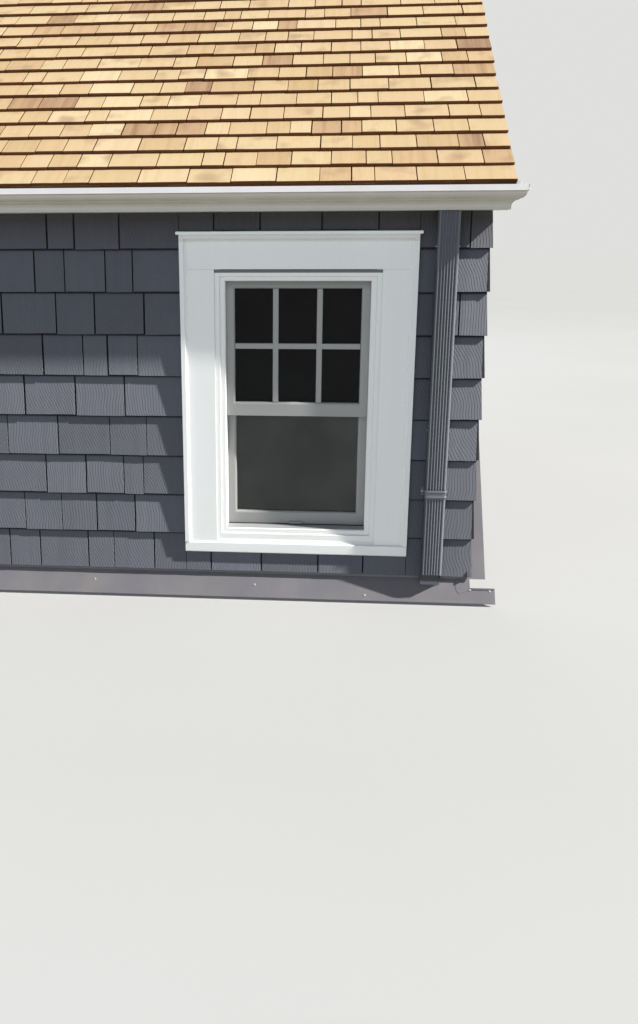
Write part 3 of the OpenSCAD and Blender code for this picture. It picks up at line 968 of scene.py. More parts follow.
@dataclass(frozen=True)
class PaintedWood(Finish):
    """Brushed satin paint on boards, thin on its edges, with painted shade in its corners, on faces that look
    down and, where a brow height is set, above it.
    """

    base: Colour = linear(237, 240, 241)
    grime: Colour = linear(150, 142, 126)
    worn: Colour = linear(186, 176, 156)
    axis: Axis = Axis.UPRIGHT
    dirt: float = 0.35
    wear: float = 0.35
    brow: float | None = None
    brow_reach: float = 0.003
    brow_shade_share: float = 0.24
    brow_shade: Colour = linear(150, 141, 116)

    def dress(self) -> None:
        """Feeds the shader's sockets."""
        place = self.object_place()
        brush = self.effect(GRAIN, Lay=self.board_lay(self.axis), Coarse=70.0, Fine=520.0, Reach=0.03)
        marks = self.effect(WEATHER, Place=place, Scale=2.6, Run=0.10)
        corners = self.effect(CREVICE_SHADE, Place=place, Reach=0.018)["Dirt"]
        edges = self.effect(WORN_EDGES, Place=place, Width=0.0018)["Wear"]
        below = self.effect(UNDERSIDE_SHADE, Place=place)["Soot"]
        light = self.ramp(brush["Streaks"], ((0.0, (0.975, 0.975, 0.972)), (1.0, WHITE)))
        base = self.blend(1.0, self.base, light, "MULTIPLY")
        # Grime in streaks and specks is real dirt; the same colour in corners and on faces that look down is
        # painted shade.
        base = self.layered(base, (marks["Streaks"], 0.05, self.grime), (marks["Specks"], 0.15, self.grime),
                            (corners, self.dirt, self.grime), (below, 0.38, self.grime))
        # Painted shade above the brow height: the band under the head cap on the back bands, and the top
        # rails of the upper sashes and the bars' top ends under the frame heads.
        if self.brow is not None:
            top = self.brow + self.brow_reach
            under_cap_shade = self.ranged(self.parts(place)[2], self.brow, top, 0.0, self.brow_shade_share)
            base = self.blend(under_cap_shade, base, self.brow_shade)
        base = self.layered(base, (edges, self.wear, self.worn))
        self.surface(base, (marks["Blotches"], 0.34, 0.50), self.relief(brush["Relief"], 0.0003, 0.25))


@dataclass(frozen=True)
class CoatedSheet(Finish):
    """Folded aluminium with a baked coat, dusty and streaked by rain, with painted shade in its corners, on
    faces that look down, where its mesh marks it, and where set below one height and above another.
    """

    base: Colour = linear(236, 234, 228)
    dust: Colour = linear(150, 138, 116)
    worn: Colour = linear(190, 190, 188)
    # Colour of the painted shade.
    soot: Colour = linear(128, 127, 116)
    dusty: float = 0.25
    shade_share: float = 0.0
    corner_shade_share: float = 0.45
    hollow: float = 0.014
    # Painted shade over the whole sheet below this height, where set.
    shaded_below: float | None = None
    shaded_below_share: float = 0.62
    # Painted shade over the whole sheet above this height, where set.
    sheltered_above: float | None = None
    sheltered: float = 0.8
    shelter_reach: float = 0.07
    shelter: Colour = linear(90, 90, 102)
    low_gloss: float = 0.50
    high_gloss: float = 0.32

    def dress(self) -> None:
        """Feeds the shader's sockets."""
        place = self.object_place()
        level = self.parts(place)[2]
        marks = self.effect(WEATHER, Place=place, Scale=5.0, Run=0.06)
        corners = self.effect(CREVICE_SHADE, Place=place, Reach=self.hollow)["Dirt"]
        edges = self.effect(WORN_EDGES, Place=place, Width=0.0009)["Wear"]
        below = self.effect(UNDERSIDE_SHADE, Place=place)["Soot"]
        sunk = self.parts(self.attribute("tone"))[2]
        base = self.layered(self.base, (marks["Streaks"], self.dusty, self.dust),
                            (marks["Specks"], 0.3, self.dust))
        # Painted shade below the given height: the gutter's face under its lip.
        if self.shaded_below is not None:
            film = self.ranged(level, self.shaded_below, self.shaded_below + 0.002, self.shaded_below_share, 0.0)
            base = self.blend(film, base, self.soot)
        # Painted shade on faces that look down, in corners and where the mesh's third tone value marks it
        # (the downspouts' flute valleys, insides and inner flanks); the worn edges are real wear.
        base = self.layered(base, (below, self.shade_share, self.soot), (corners, self.corner_shade_share, self.soot),
                            (sunk, 0.9, self.soot), (edges, 0.5, self.worn))
        # Painted shade above the given height: the top of each downspout under the gutter.
        if self.sheltered_above is not None:
            top = self.sheltered_above + self.shelter_reach
            shade = self.ranged(level, self.sheltered_above, top, 0.0, self.sheltered)
            base = self.blend(shade, base, self.shelter)
        peel, wave = self.noise(place, 620.0), self.noise(place, 7.0)
        height = self.maths("ADD", self.times(wave, 3.0), self.times(peel, 0.06))
        self.surface(base, (marks["Blotches"], self.high_gloss, self.low_gloss),
                     self.relief(height, 0.0012, 0.30))


@dataclass(frozen=True)
class SawnTimber(Finish):
    """Sawn softwood with darker bands, knots and a little dirt from handling."""

    axis: Axis = Axis.UPRIGHT
    pale: Colour = linear(216, 184, 138)
    dark: Colour = linear(176, 132, 84)
    knot: Colour = linear(112, 70, 40)
    grime: Colour = linear(150, 124, 92)
    speck: Colour = linear(96, 76, 54)

    def dress(self) -> None:
        """Feeds the shader's sockets."""
        lay = self.board_lay(self.axis)
        grain = self.effect(GRAIN, Lay=lay, Coarse=46.0, Fine=380.0, Reach=0.045)
        marks = self.effect(WEATHER, Place=self.object_place(), Scale=3.0, Run=0.6)
        spot = self.node("ShaderNodeTexVoronoi", feature="F1")
        self.feed(spot.inputs["Vector"], self.vector("MULTIPLY", lay, (9.0, 2.6, 9.0)))
        spot.inputs["Scale"].default_value = 1.0
        knots = self.ranged(spot.outputs["Distance"], 0.05, 0.16, 1.0, 0.0)
        base = self.layered(self.blend(grain["Streaks"], self.dark, self.pale), (knots, 0.75, self.knot),
                            (marks["Blotches"], 0.25, self.grime), (marks["Specks"], 0.3, self.speck))
        self.surface(base, (grain["Fibres"], 0.66, 0.88), self.relief(grain["Relief"], 0.0008, 0.5))


@dataclass(frozen=True)
class BoardSheathing(Finish):
    """Boards laid side by side, seen from the room under the roof."""

    axis: Axis = Axis.ACROSS
    width: float = 0.14
    tones: tuple[tuple[float, Colour], ...] = (
        (0.0, linear(178, 138, 92)), (0.5, linear(204, 168, 120)), (1.0, linear(220, 190, 146)),
    )
    grime: Colour = linear(146, 120, 88)
    gap: Colour = linear(40, 30, 22)

    def dress(self) -> None:
        """Feeds the shader's sockets."""
        place = self.object_place()
        x, y, z = self.parts(place)
        across, along = z, self.maths("ADD", x, y)
        if self.axis is Axis.ROOF_SLOPE:
            across, along = self.sloped(y, z, SIZES.roof_pitch), x
        boards = self.effect(BOARDS, Across=across, Width=self.width)
        offset = self.times(boards["Tone"], 40.0)
        lay = self.joined(across, self.maths("ADD", along, offset), offset)
        grain = self.effect(GRAIN, Lay=lay, Coarse=30.0, Fine=300.0, Reach=0.05)
        marks = self.effect(WEATHER, Place=place, Scale=2.4, Run=0.6)
        base = self.ramp(boards["Tone"], self.tones)
        base = self.toned(base, grain["Streaks"], ((0.0, (0.74, 0.70, 0.64)), (0.7, WHITE)))
        base = self.layered(base, (marks["Blotches"], 0.25, self.grime))
        base = self.blend(boards["Joint"], base, self.gap)
        height = self.maths("SUBTRACT", self.times(grain["Relief"], 0.3), boards["Joint"])
        self.surface(base, (grain["Fibres"], 0.68, 0.88), self.relief(height, 0.002, 0.6))


@dataclass(frozen=True)
class WindowGlass(Finish):
    """Glass tinted nearly black, painted shade for the dark room behind it, with a few faint smears."""

    base: Colour = (0.003, 0.0035, 0.0035)
    film: Colour = linear(120, 124, 120)
    dusty: float = 0.02
    shine: float = 0.04
    bend: float = 1.27

    def dress(self) -> None:
        """Feeds the shader's sockets."""
        marks = self.effect(WEATHER, Place=self.object_place(), Scale=3.5, Run=0.3)
        base = self.layered(self.base, (marks["Blotches"], self.dusty, self.film))
        self.surface(base, (marks["Streaks"], 0.02, 0.08))
        self.shader["Transmission Weight"].default_value = 0.6
        self.shader["Specular IOR Level"].default_value = self.shine
        self.shader["IOR"].default_value = self.bend


@dataclass(frozen=True)
class BrightMetal(Finish):
    """Bare zinc or nickel, scratched and a little dull."""

    base: Colour = linear(176, 178, 180)
    dull: Colour = linear(120, 118, 112)
    bare: Colour = linear(214, 214, 212)

    def dress(self) -> None:
        """Feeds the shader's sockets."""
        place = self.object_place()
        marks = self.effect(WEATHER, Place=place, Scale=40.0, Run=1.0)
        edges = self.effect(WORN_EDGES, Place=place, Width=0.0006)["Wear"]
        base = self.layered(self.base, (marks["Blotches"], 0.6, self.dull), (edges, 0.5, self.bare))
        self.surface(base, (marks["Blotches"], 0.25, 0.5),
                     self.relief(self.noise(place, 900.0, 3.0, 0.7), 0.0003, 0.3))
        self.shader["Metallic"].default_value = 1.0


@dataclass(frozen=True)
class RoofingFelt(Finish):
    """Dark felt under the shingles."""

    base: Colour = linear(46, 45, 46)
    dust: Colour = linear(70, 66, 62)

    def dress(self) -> None:
        """Feeds the shader's sockets."""
        place = self.object_place()
        marks = self.effect(WEATHER, Place=place, Scale=6.0, Run=1.0)
        base = self.layered(self.base, (marks["Blotches"], 0.5, self.dust))
        self.surface(base, (marks["Specks"], 0.8, 0.95),
                     self.relief(self.noise(place, 500.0, 3.0, 0.7), 0.0008, 0.5))


@dataclass(frozen=True)
class StudioFloor(Finish):
    """Plain pale floor that can't be seen from below."""

    base: Colour = (0.42, 0.425, 0.43)

    def dress(self) -> None:
        """Feeds the shader's sockets."""
        cloud = self.ranged(self.noise(self.object_place(), 0.6), 0.3, 0.7, 0.97, 1.0)
        base = self.blend(1.0, self.base, self.joined(cloud, cloud, cloud), "MULTIPLY")
        self.feed(self.shader["Base Color"], base)
        self.shader["Roughness"].default_value = 0.85
        below = self.node("ShaderNodeNewGeometry").outputs["Backfacing"]
        self.feed(self.shader["Alpha"], self.maths("SUBTRACT", 1.0, below))


CEDAR = BareCedar("cedar_bare")
WALL_PAINT = PaintedShingle("charcoal_paint")
TRIM_UPRIGHT = PaintedWood("white_paint_upright")
TRIM_ACROSS = PaintedWood("white_paint_across", axis=Axis.ACROSS)
# Back bands: warm painted shade in the band under the head cap.
TRIM_BAND = PaintedWood("white_paint_band", brow=SIZES.cap_top - 0.042)
TRIM_SLOPE = PaintedWood("white_paint_slope", axis=Axis.ROOF_SLOPE)
FRAME_PAINT = PaintedWood("frame_paint", base=linear(238, 239, 239), dirt=0.5, wear=0.15)
# Sashes: painted shade over the top rails of the upper sashes.
SASH_PAINT = PaintedWood("sash_paint", base=linear(154, 155, 155), grime=linear(84, 80, 72),
                         worn=linear(196, 196, 192), dirt=0.45, wear=0.25, brow=1.138, brow_reach=0.038,
                         brow_shade_share=0.65, brow_shade=linear(84, 84, 78))
# The gutter is painted in shade below its lip, on faces that look down and in its hollows.
GUTTER_COAT = CoatedSheet("gutter_coat", base=linear(240, 238, 241), soot=linear(151, 147, 125), dusty=0.10,
                          shade_share=0.75, corner_shade_share=0.95, hollow=0.03, shaded_below=1.4855)
# The downspouts are painted near black as shade in their flute valleys, inside and on the inner flank, and
# darker at the top under the gutter.
SPOUT_COAT = CoatedSheet("spout_coat", base=linear(124, 129, 137), dust=linear(78, 78, 80),
                         soot=linear(40, 42, 46), worn=linear(168, 170, 174), dusty=0.30, shade_share=0.5,
                         sheltered_above=1.20, low_gloss=0.46, high_gloss=0.28)
FLASHING_COAT = CoatedSheet("flashing_coat", base=linear(106, 104, 111), dust=linear(132, 128, 122),
                            soot=linear(70, 68, 70), worn=linear(176, 178, 182), dusty=0.30, low_gloss=0.62,
                            high_gloss=0.42)
NAIL_COAT = CoatedSheet("nail_coat", base=linear(158, 158, 160), dust=linear(132, 130, 126),
                        soot=linear(70, 68, 70), low_gloss=0.62, high_gloss=0.5)
# A near-black that stands for the shade in the gap under each lower sash's bottom rail: painted shade.
RAIL_GAP_SHADE = CoatedSheet("rail_gap_shade", base=linear(36, 36, 38), dust=linear(60, 58, 54),
                            worn=linear(70, 70, 70), low_gloss=0.7, high_gloss=0.55)
# A grey that stands for the shadow in the groove over each frame head: painted shade.
GROOVE_SHADE = CoatedSheet("groove_shade_grey", base=linear(104, 106, 104), dust=linear(96, 94, 88),
                      soot=linear(60, 60, 58), low_gloss=0.7, high_gloss=0.6)
JOINT_FILLER = CoatedSheet("joint_filler", base=linear(206, 207, 205), dust=linear(170, 166, 156),
                           low_gloss=0.7, high_gloss=0.6)
SILL_TRACK = CoatedSheet("sill_track", base=linear(152, 154, 157), dust=linear(132, 130, 124),
                         soot=linear(96, 96, 94), low_gloss=0.6, high_gloss=0.45)
TIMBER = {axis: SawnTimber("timber_" + axis.value.replace(" ", "_"), axis=axis) for axis in Axis}
WALL_BOARDS = BoardSheathing("wall_boards")
DECK_BOARDS = BoardSheathing("deck_boards", axis=Axis.ROOF_SLOPE, width=0.11)
# Both glasses are tinted dark as painted shade of the room behind; the lower one is tinted less dark, with
# more film and more shine.
UPPER_GLASS = WindowGlass("window_glass_upper")
LOWER_GLASS = WindowGlass("window_glass_lower", base=(0.020, 0.023, 0.023), dusty=0.16, shine=0.20, bend=1.5)
ZINC = BrightMetal("bright_zinc")
LOCK_COAT = BrightMetal("lock_nickel", base=linear(150, 150, 148), dull=linear(96, 94, 90))
FELT = RoofingFelt("roofing_felt")
FLOOR = StudioFloor("studio_floor")


# Shingles


@dataclass
class ShingleDraw:
    """Draws the widths, tones and small errors of one coat of shingles."""

    seed: int
    narrow: float
    wide: float
    gap: tuple[float, float]
    clear: float = 0.030
    tries: int = 8
    wobble: float = 0.0010
    step: float = 0.035
    ragged: float = 0.35
    overhang: tuple[float, float] = (-0.005, 0.002)
    rng: random.Random = field(init=False)

    def __post_init__(self) -> None:
        """Seeds the draw."""
        self.rng = random.Random(self.seed)

    def joints(self, start: float, stop: float, below: Sequence[float]) -> list[float]:
        """Places the joints of a course, clear of those in the course below.

        Args:
            start: Where the course starts.
            stop: Where it ends.
            below: Joints of the course below.

        Returns:
            The joints, both ends included.
        """
        cuts = [start]
        while stop - cuts[-1] > self.wide:
            spot = cuts[-1] + self.rng.uniform(self.narrow, self.wide)
            for _ in range(self.tries):
                if all(abs(spot - other) > self.clear for other in below):
                    break
                spot = cuts[-1] + self.rng.uniform(self.narrow, self.wide)
            cuts.append(spot)
        if len(cuts) > 1 and stop - cuts[-1] < self.narrow:
            cuts[-1] = (cuts[-2] + stop) / 2.0
        return [*cuts, stop]

    def outline(self, left: float, right: float, low: float, high: float,
                top: Corner | None = None) -> list[Corner]:
        """Gives one shingle's outline with its sawn butt.

        Args:
            left: Its left side at the butt.
            right: Its right side at the butt.
            low: Distance along of its butt.
            high: Distance along of its head.
            top: Left and right side at the head, as at the butt if None.

        Returns:
            Corners, anticlockwise.
        """
        slip = self.rng.uniform(-self.wobble, self.wobble)
        count = max(2, round((right - left) / self.step))
        butt = []
        for i in range(count + 1):
            f = i / count
            wave = self.rng.uniform(-self.ragged, self.ragged) * self.wobble if 0 < i < count else 0.0
            butt.append((left + (right - left) * f, low + slip * (1.0 - 2.0 * f) * 0.5 + wave + self.wobble))
        head = top or (left, right)
        return [*butt, (head[1], high), (head[0], high)]

    def seeded(self) -> Point:
        """Draws a tone, a warmth and a number that sets the grain apart."""
        return self.rng.random(), self.rng.random() ** 2, self.rng.uniform(0.0, 50.0)

    def space(self) -> float:
        """Draws half the gap to the next shingle."""
        return self.rng.uniform(*self.gap) / 2.0

    def uneven(self) -> float:
        """Draws how far a shingle passes or falls short of the edge of the roof."""
        return self.rng.uniform(*self.overhang)


@dataclass
class RoofCourses:
    """The cedar shingles of the dormer roof, with the doubled starter at the eave."""

    exposure: float = 0.112
    eave: float = -0.038 / math.cos(SIZES.roof_pitch)
    half: float = 1.910
    bed: float = 0.0013
    low: float = 0.019
    high: float = 0.031
    fall: float = 0.1071
    length: float = 0.200
    lift: float = 0.0020
    starter: float = 0.150
    starters: tuple[tuple[float, Levels], ...] = (
        (0.003, (0.0013, 0.0013, 0.0098, 0.0030)), (0.0015, (0.0101, 0.0032, 0.0186, 0.0044)),
    )
    jut: float = 0.0025
    lean: float = 0.004
    thick: tuple[float, float] = (-0.0008, 0.0012)
    short: float = 0.045
    felt_half: float = 1.866
    felt_low: float = -0.030
    felt_short: float = 0.012
    felt_faces: tuple[float, float] = (0.0003, 0.0011)

    def limit(self, height: float) -> float:
        """Gives how far up the slope a shingle may run before the main roof.

        Args:
            height: Its height above the deck.

        Returns:
            The distance from the fascia.
        """
        c, s, k = math.cos(SIZES.roof_pitch), math.sin(SIZES.roof_pitch), SIZES.main_k
        level = SIZES.deck_front_z + k * SIZES.fascia_t - self.lift / math.cos(SIZES.main_pitch)
        return (level + height * (c + k * s)) / (k * c - s)

    def place(self, x: float, up: float, height: float) -> Point:
        """Gives a point of the roof, no farther up than the main roof allows.

        Args:
            x: Its place along the front.
            up: Its distance up the slope.
            height: Its height above the deck.

        Returns:
            The point.
        """
        up = min(up, self.limit(height))
        c, s = math.cos(SIZES.roof_pitch), math.sin(SIZES.roof_pitch)
        return x, up * c - height * s - SIZES.fascia_t, up * s + height * c + SIZES.deck_front_z

    def course(self, pen: Pen, draw: ShingleDraw, start: float, below: list[float],
               levels: Levels, length: float) -> list[float]:
        """Adds one course.

        Args:
            pen: Pen to draw with.
            draw: Draw of widths and tones.
            start: Distance up the slope of its butts.
            below: Joints of the course below.
            levels: Height of the lower face at butt and head, then of the upper face.
            length: Length of a shingle.

        Returns:
            The joints of this course.
        """
        cuts = draw.joints(-self.half, self.half, below)
        low0, low1, high0, high1 = levels
        for left, right in zip(cuts, cuts[1:]):
            butt = start + draw.rng.uniform(-self.jut, self.jut)
            lean, thick = draw.rng.uniform(-self.lean, self.lean), draw.rng.uniform(*self.thick)
            middle = (left + right) / 2.0
            begin = left - draw.uneven() if left == -self.half else left + draw.space()
            end = right + draw.uneven() if right == self.half else right - draw.space()

            def under(up: float) -> float:
                """Height of the lower face."""
                return low0 + (low1 - low0) * max(0.0, up - start) / length

            def over(x: float, up: float) -> float:
                """Height of the upper face."""
                flat = high0 + thick + (high1 - high0 - thick) * (up - start) / length
                return flat + lean * (x - middle) * max(0.0, 1.0 - (up - start) / length)

            shape = draw.outline(begin, end, butt, start + length)
            pen.slab(shape, self.place, under, over, butt, draw.seeded())
        return cuts

    def felt(self) -> None:
        """Builds the roofing felt under the shingles."""
        pen = Pen()
        rings = []
        for up in (self.felt_low, self.limit(0.0) - self.felt_short):
            sheet = rectangle(-self.felt_half, self.felt_half, *self.felt_faces)
            spots = [self.place(x, up, h) for x, h in sheet]
            rings.append([pen.put(spot, (spot[0], up, 0.0)) for spot in spots])
        pen.bands(rings, True)
        pen.piece("roof_felt", FELT)

    def build(self) -> None:
        """Builds the starter, the courses and the felt."""
        draw = ShingleDraw(41, narrow=0.075, wide=0.185, gap=(0.0012, 0.0050), wobble=0.0016)
        pen = Pen()
        below: list[float] = []
        for setback, levels in self.starters:
            below = self.course(pen, draw, self.eave + setback, below, levels, self.starter)
        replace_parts(pen.piece("eave_starter_shingles", CEDAR), "starter_course")
        pen = Pen()
        levels = (self.low, self.bed, self.high, self.high - self.fall * self.length)
        row = 0
        while self.eave + row * self.exposure < self.limit(self.low) - self.short:
            below = self.course(pen, draw, self.eave + row * self.exposure, below, levels, self.length)
            row += 1
        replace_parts(pen.piece("roof_cedar_shingles", CEDAR), "roof_shingles")
        self.felt()


@dataclass
class WallCourses:
    """The painted shingles of the front wall and the side walls."""

    first: float = 0.015
    exposure: float = 0.160
    reach: float = 0.270
    inner: float = 0.009
    outer: float = 0.019
    least: float = 0.0014
    taper: float = 0.0625
    rows: int = 9
    jut: float = 0.0020
    lean: float = 0.006
    thick: tuple[float, float] = (-0.0008, 0.0006)
    gaps: tuple[float, float] = (0.0020, 0.0070)
    wobble: float = 0.0015
    flashing: float = 0.0655
    trim_gap: float = 0.0012
    corner_gap: float = 0.0003
    eave_gap: float = 0.0006
    rake_gap: float = 0.0008
    foot_gap: float = 0.0006
    short: float = 0.02
    least_area: float = 0.0004
    deepest: float = 2.3
    felt_low: float = 0.014
    felt_foot: float = 0.066
    felt_t: float = 0.0008
    near: float = SIZES.window_x - SIZES.case_x
    away: float = SIZES.window_x + SIZES.case_x

    def butt(self, row: int) -> float:
        """Gives the height of a row's butts."""
        return self.first + row * self.exposure

    def under(self, row: int, z: float) -> float:
        """Gives how far the inner face of a row stands out at a height."""
        return self.inner - (self.inner - self.least) * max(0.0, z - self.butt(row)) / self.reach

    def over(self, row: int, z: float) -> float:
        """Gives how far the outer face of a row stands out at a height."""
        return self.outer - self.taper * (z - self.butt(row))

    def shingle(self, pen: Pen, draw: ShingleDraw, row: int, shape: Sequence[Corner],
                place: Callable[[float, float, float], Point], turned: bool = False) -> None:
        """Adds one shingle of a wall.

        Args:
            pen: Pen to draw with.
            draw: Draw of tones and small errors.
            row: Its row.
            shape: Its outline.
            place: Gives a point for a distance along the wall, a height and a distance out.
            turned: True where place mirrors the outline.
        """
        lean, thick = draw.rng.uniform(-self.lean, self.lean), draw.rng.uniform(*self.thick)
        middle = sum(s for s, _ in shape) / len(shape)

        def over(s: float, z: float) -> float:
            """How far the outer face stands out."""
            fade = max(0.0, 1.0 - (z - self.butt(row)) / self.exposure)
            return self.over(row, z) + (thick + lean * (s - middle)) * fade

        pen.slab(shape, place, lambda z: self.under(row, z), over, self.butt(row), draw.seeded(), turned)

    def front(self) -> None:
        """Builds the front wall round the windows."""
        draw = ShingleDraw(7, narrow=0.080, wide=0.235, gap=self.gaps, wobble=self.wobble)
        top = SIZES.gutter_z - self.eave_gap
        gap, near, away = self.trim_gap, self.near, self.away
        pen = Pen()
        below: list[float] = []
        for row in range(self.rows):
            z0, z1 = self.butt(row), min(self.butt(row) + self.reach, top)
            lap = self.over if row % 2 == 0 else self.under
            foot, head = (SIZES.half_w + lap(row, z) - self.corner_gap for z in (z0, z1))
            spans = [(-foot, -away - gap, z0, z1), (-near + gap, near - gap, z0, z1),
                     (away + gap, foot, z0, z1)]
            for start, stop in ((-away, -near), (near, away)):
                if z0 < SIZES.sill_low:
                    spans.append((start, stop, z0, SIZES.sill_low - gap))
                if z1 > SIZES.cap_top + self.short and z0 > SIZES.cap_top - self.exposure:
                    spans.append((start, stop, SIZES.cap_top + gap, z1))
            joints: list[float] = []
            for left, right, low, high in spans:
                cuts = draw.joints(left, right, below)
                joints += cuts
                for a, b in zip(cuts, cuts[1:]):
                    begin = a if a == left else a + draw.space()
                    end = b if b == right else b - draw.space()
                    sides = (-head if a == -foot else begin, head if b == foot else end)
                    jut = draw.rng.uniform(-self.jut, self.jut) if row else 0.0
                    shape = draw.outline(begin, end, low - draw.wobble + jut, high, sides)
                    self.shingle(pen, draw, row, shape, lambda s, z, h: (s, -h, z))
            below = joints
        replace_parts(pen.piece("front_wall_shingles", WALL_PAINT), "front_shingles")

    def cheek(self, side: Side) -> None:
        """Builds one side wall.

        Args:
            side: Which end of the dormer.
        """
        seed = 19 if side is Side.RIGHT else 23
        draw = ShingleDraw(seed, narrow=0.080, wide=0.215, gap=self.gaps, wobble=self.wobble)
        foot = self.flashing + self.foot_gap
        brow = SIZES.rake_under_z - self.rake_gap
        pen = Pen()
        below: list[float] = []
        last = int((brow + SIZES.roof_k * self.deepest - self.first) / self.exposure)
        for row in range(last + 1):
            z0, z1 = self.butt(row), self.butt(row) + self.reach
            lap = self.over if row % 2 == 1 else self.under
            start = max(-lap(row, z0), (z0 - brow) / SIZES.roof_k)
            stop = (z1 - foot) / SIZES.main_k
            if stop - start < self.short:
                continue
            below = draw.joints(start, stop, below)
            for a, b in zip(below, below[1:]):
                begin = a + self.corner_gap if a == start else a + draw.space()
                end = b if b == stop else b - draw.space()
                head = (-lap(row, z1) + self.corner_gap, end) if a == start and start < 0.0 else None
                shape = draw.outline(begin, end, z0, z1, head)
                shape = clipped(shape, lambda p: p[1] - SIZES.main_k * p[0] - foot)
                shape = tidy_outline(clipped(shape, lambda p: brow + SIZES.roof_k * p[0] - p[1]))
                if len(shape) < 3 or area(shape) < self.least_area:
                    continue
                self.shingle(pen, draw, row, shape, lambda s, z, h: (side.value * (SIZES.half_w + h), s, z),
                             side is Side.LEFT)
        name = side.name.lower() + "_cheek_shingles"
        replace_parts(pen.piece(side.name.lower() + "_wall_shingles", WALL_PAINT), name)

    def felt(self) -> None:
        """Builds the building paper behind the shingles."""
        pen = Pen()
        x, low, top = SIZES.half_w, self.felt_low, SIZES.gutter_z
        sheets = [(-x, -self.away, low, top), (-self.near, self.near, low, top), (self.away, x, low, top)]
        for bottom, height in ((low, SIZES.sill_low), (SIZES.cap_top, top)):
            sheets += [(-self.away, -self.near, bottom, height), (self.near, self.away, bottom, height)]
        for sheet in sheets:
            pen.prism(rectangle(*sheet), (0.0, -0.0010, 0.0), (0.0, self.felt_t, 0.0), ACROSS, UPWARD)
        foot, brow = self.felt_foot, SIZES.rake_under_z
        tip = (brow - foot) / (SIZES.main_k - SIZES.roof_k)
        shape = [(0.0, foot), (tip, foot + SIZES.main_k * tip), (0.0, brow)]
        for side in Side:
            pen.prism(shape, (side.value * (x + 0.0002), 0.0, 0.0), (side.value * self.felt_t, 0.0, 0.0),
                      INWARD, UPWARD)
        pen.piece("wall_felt", FELT)

    def build(self) -> None:
        """Builds the three walls and their building paper."""
        self.front()
        for side in Side:
            self.cheek(side)
        self.felt()


# Windows


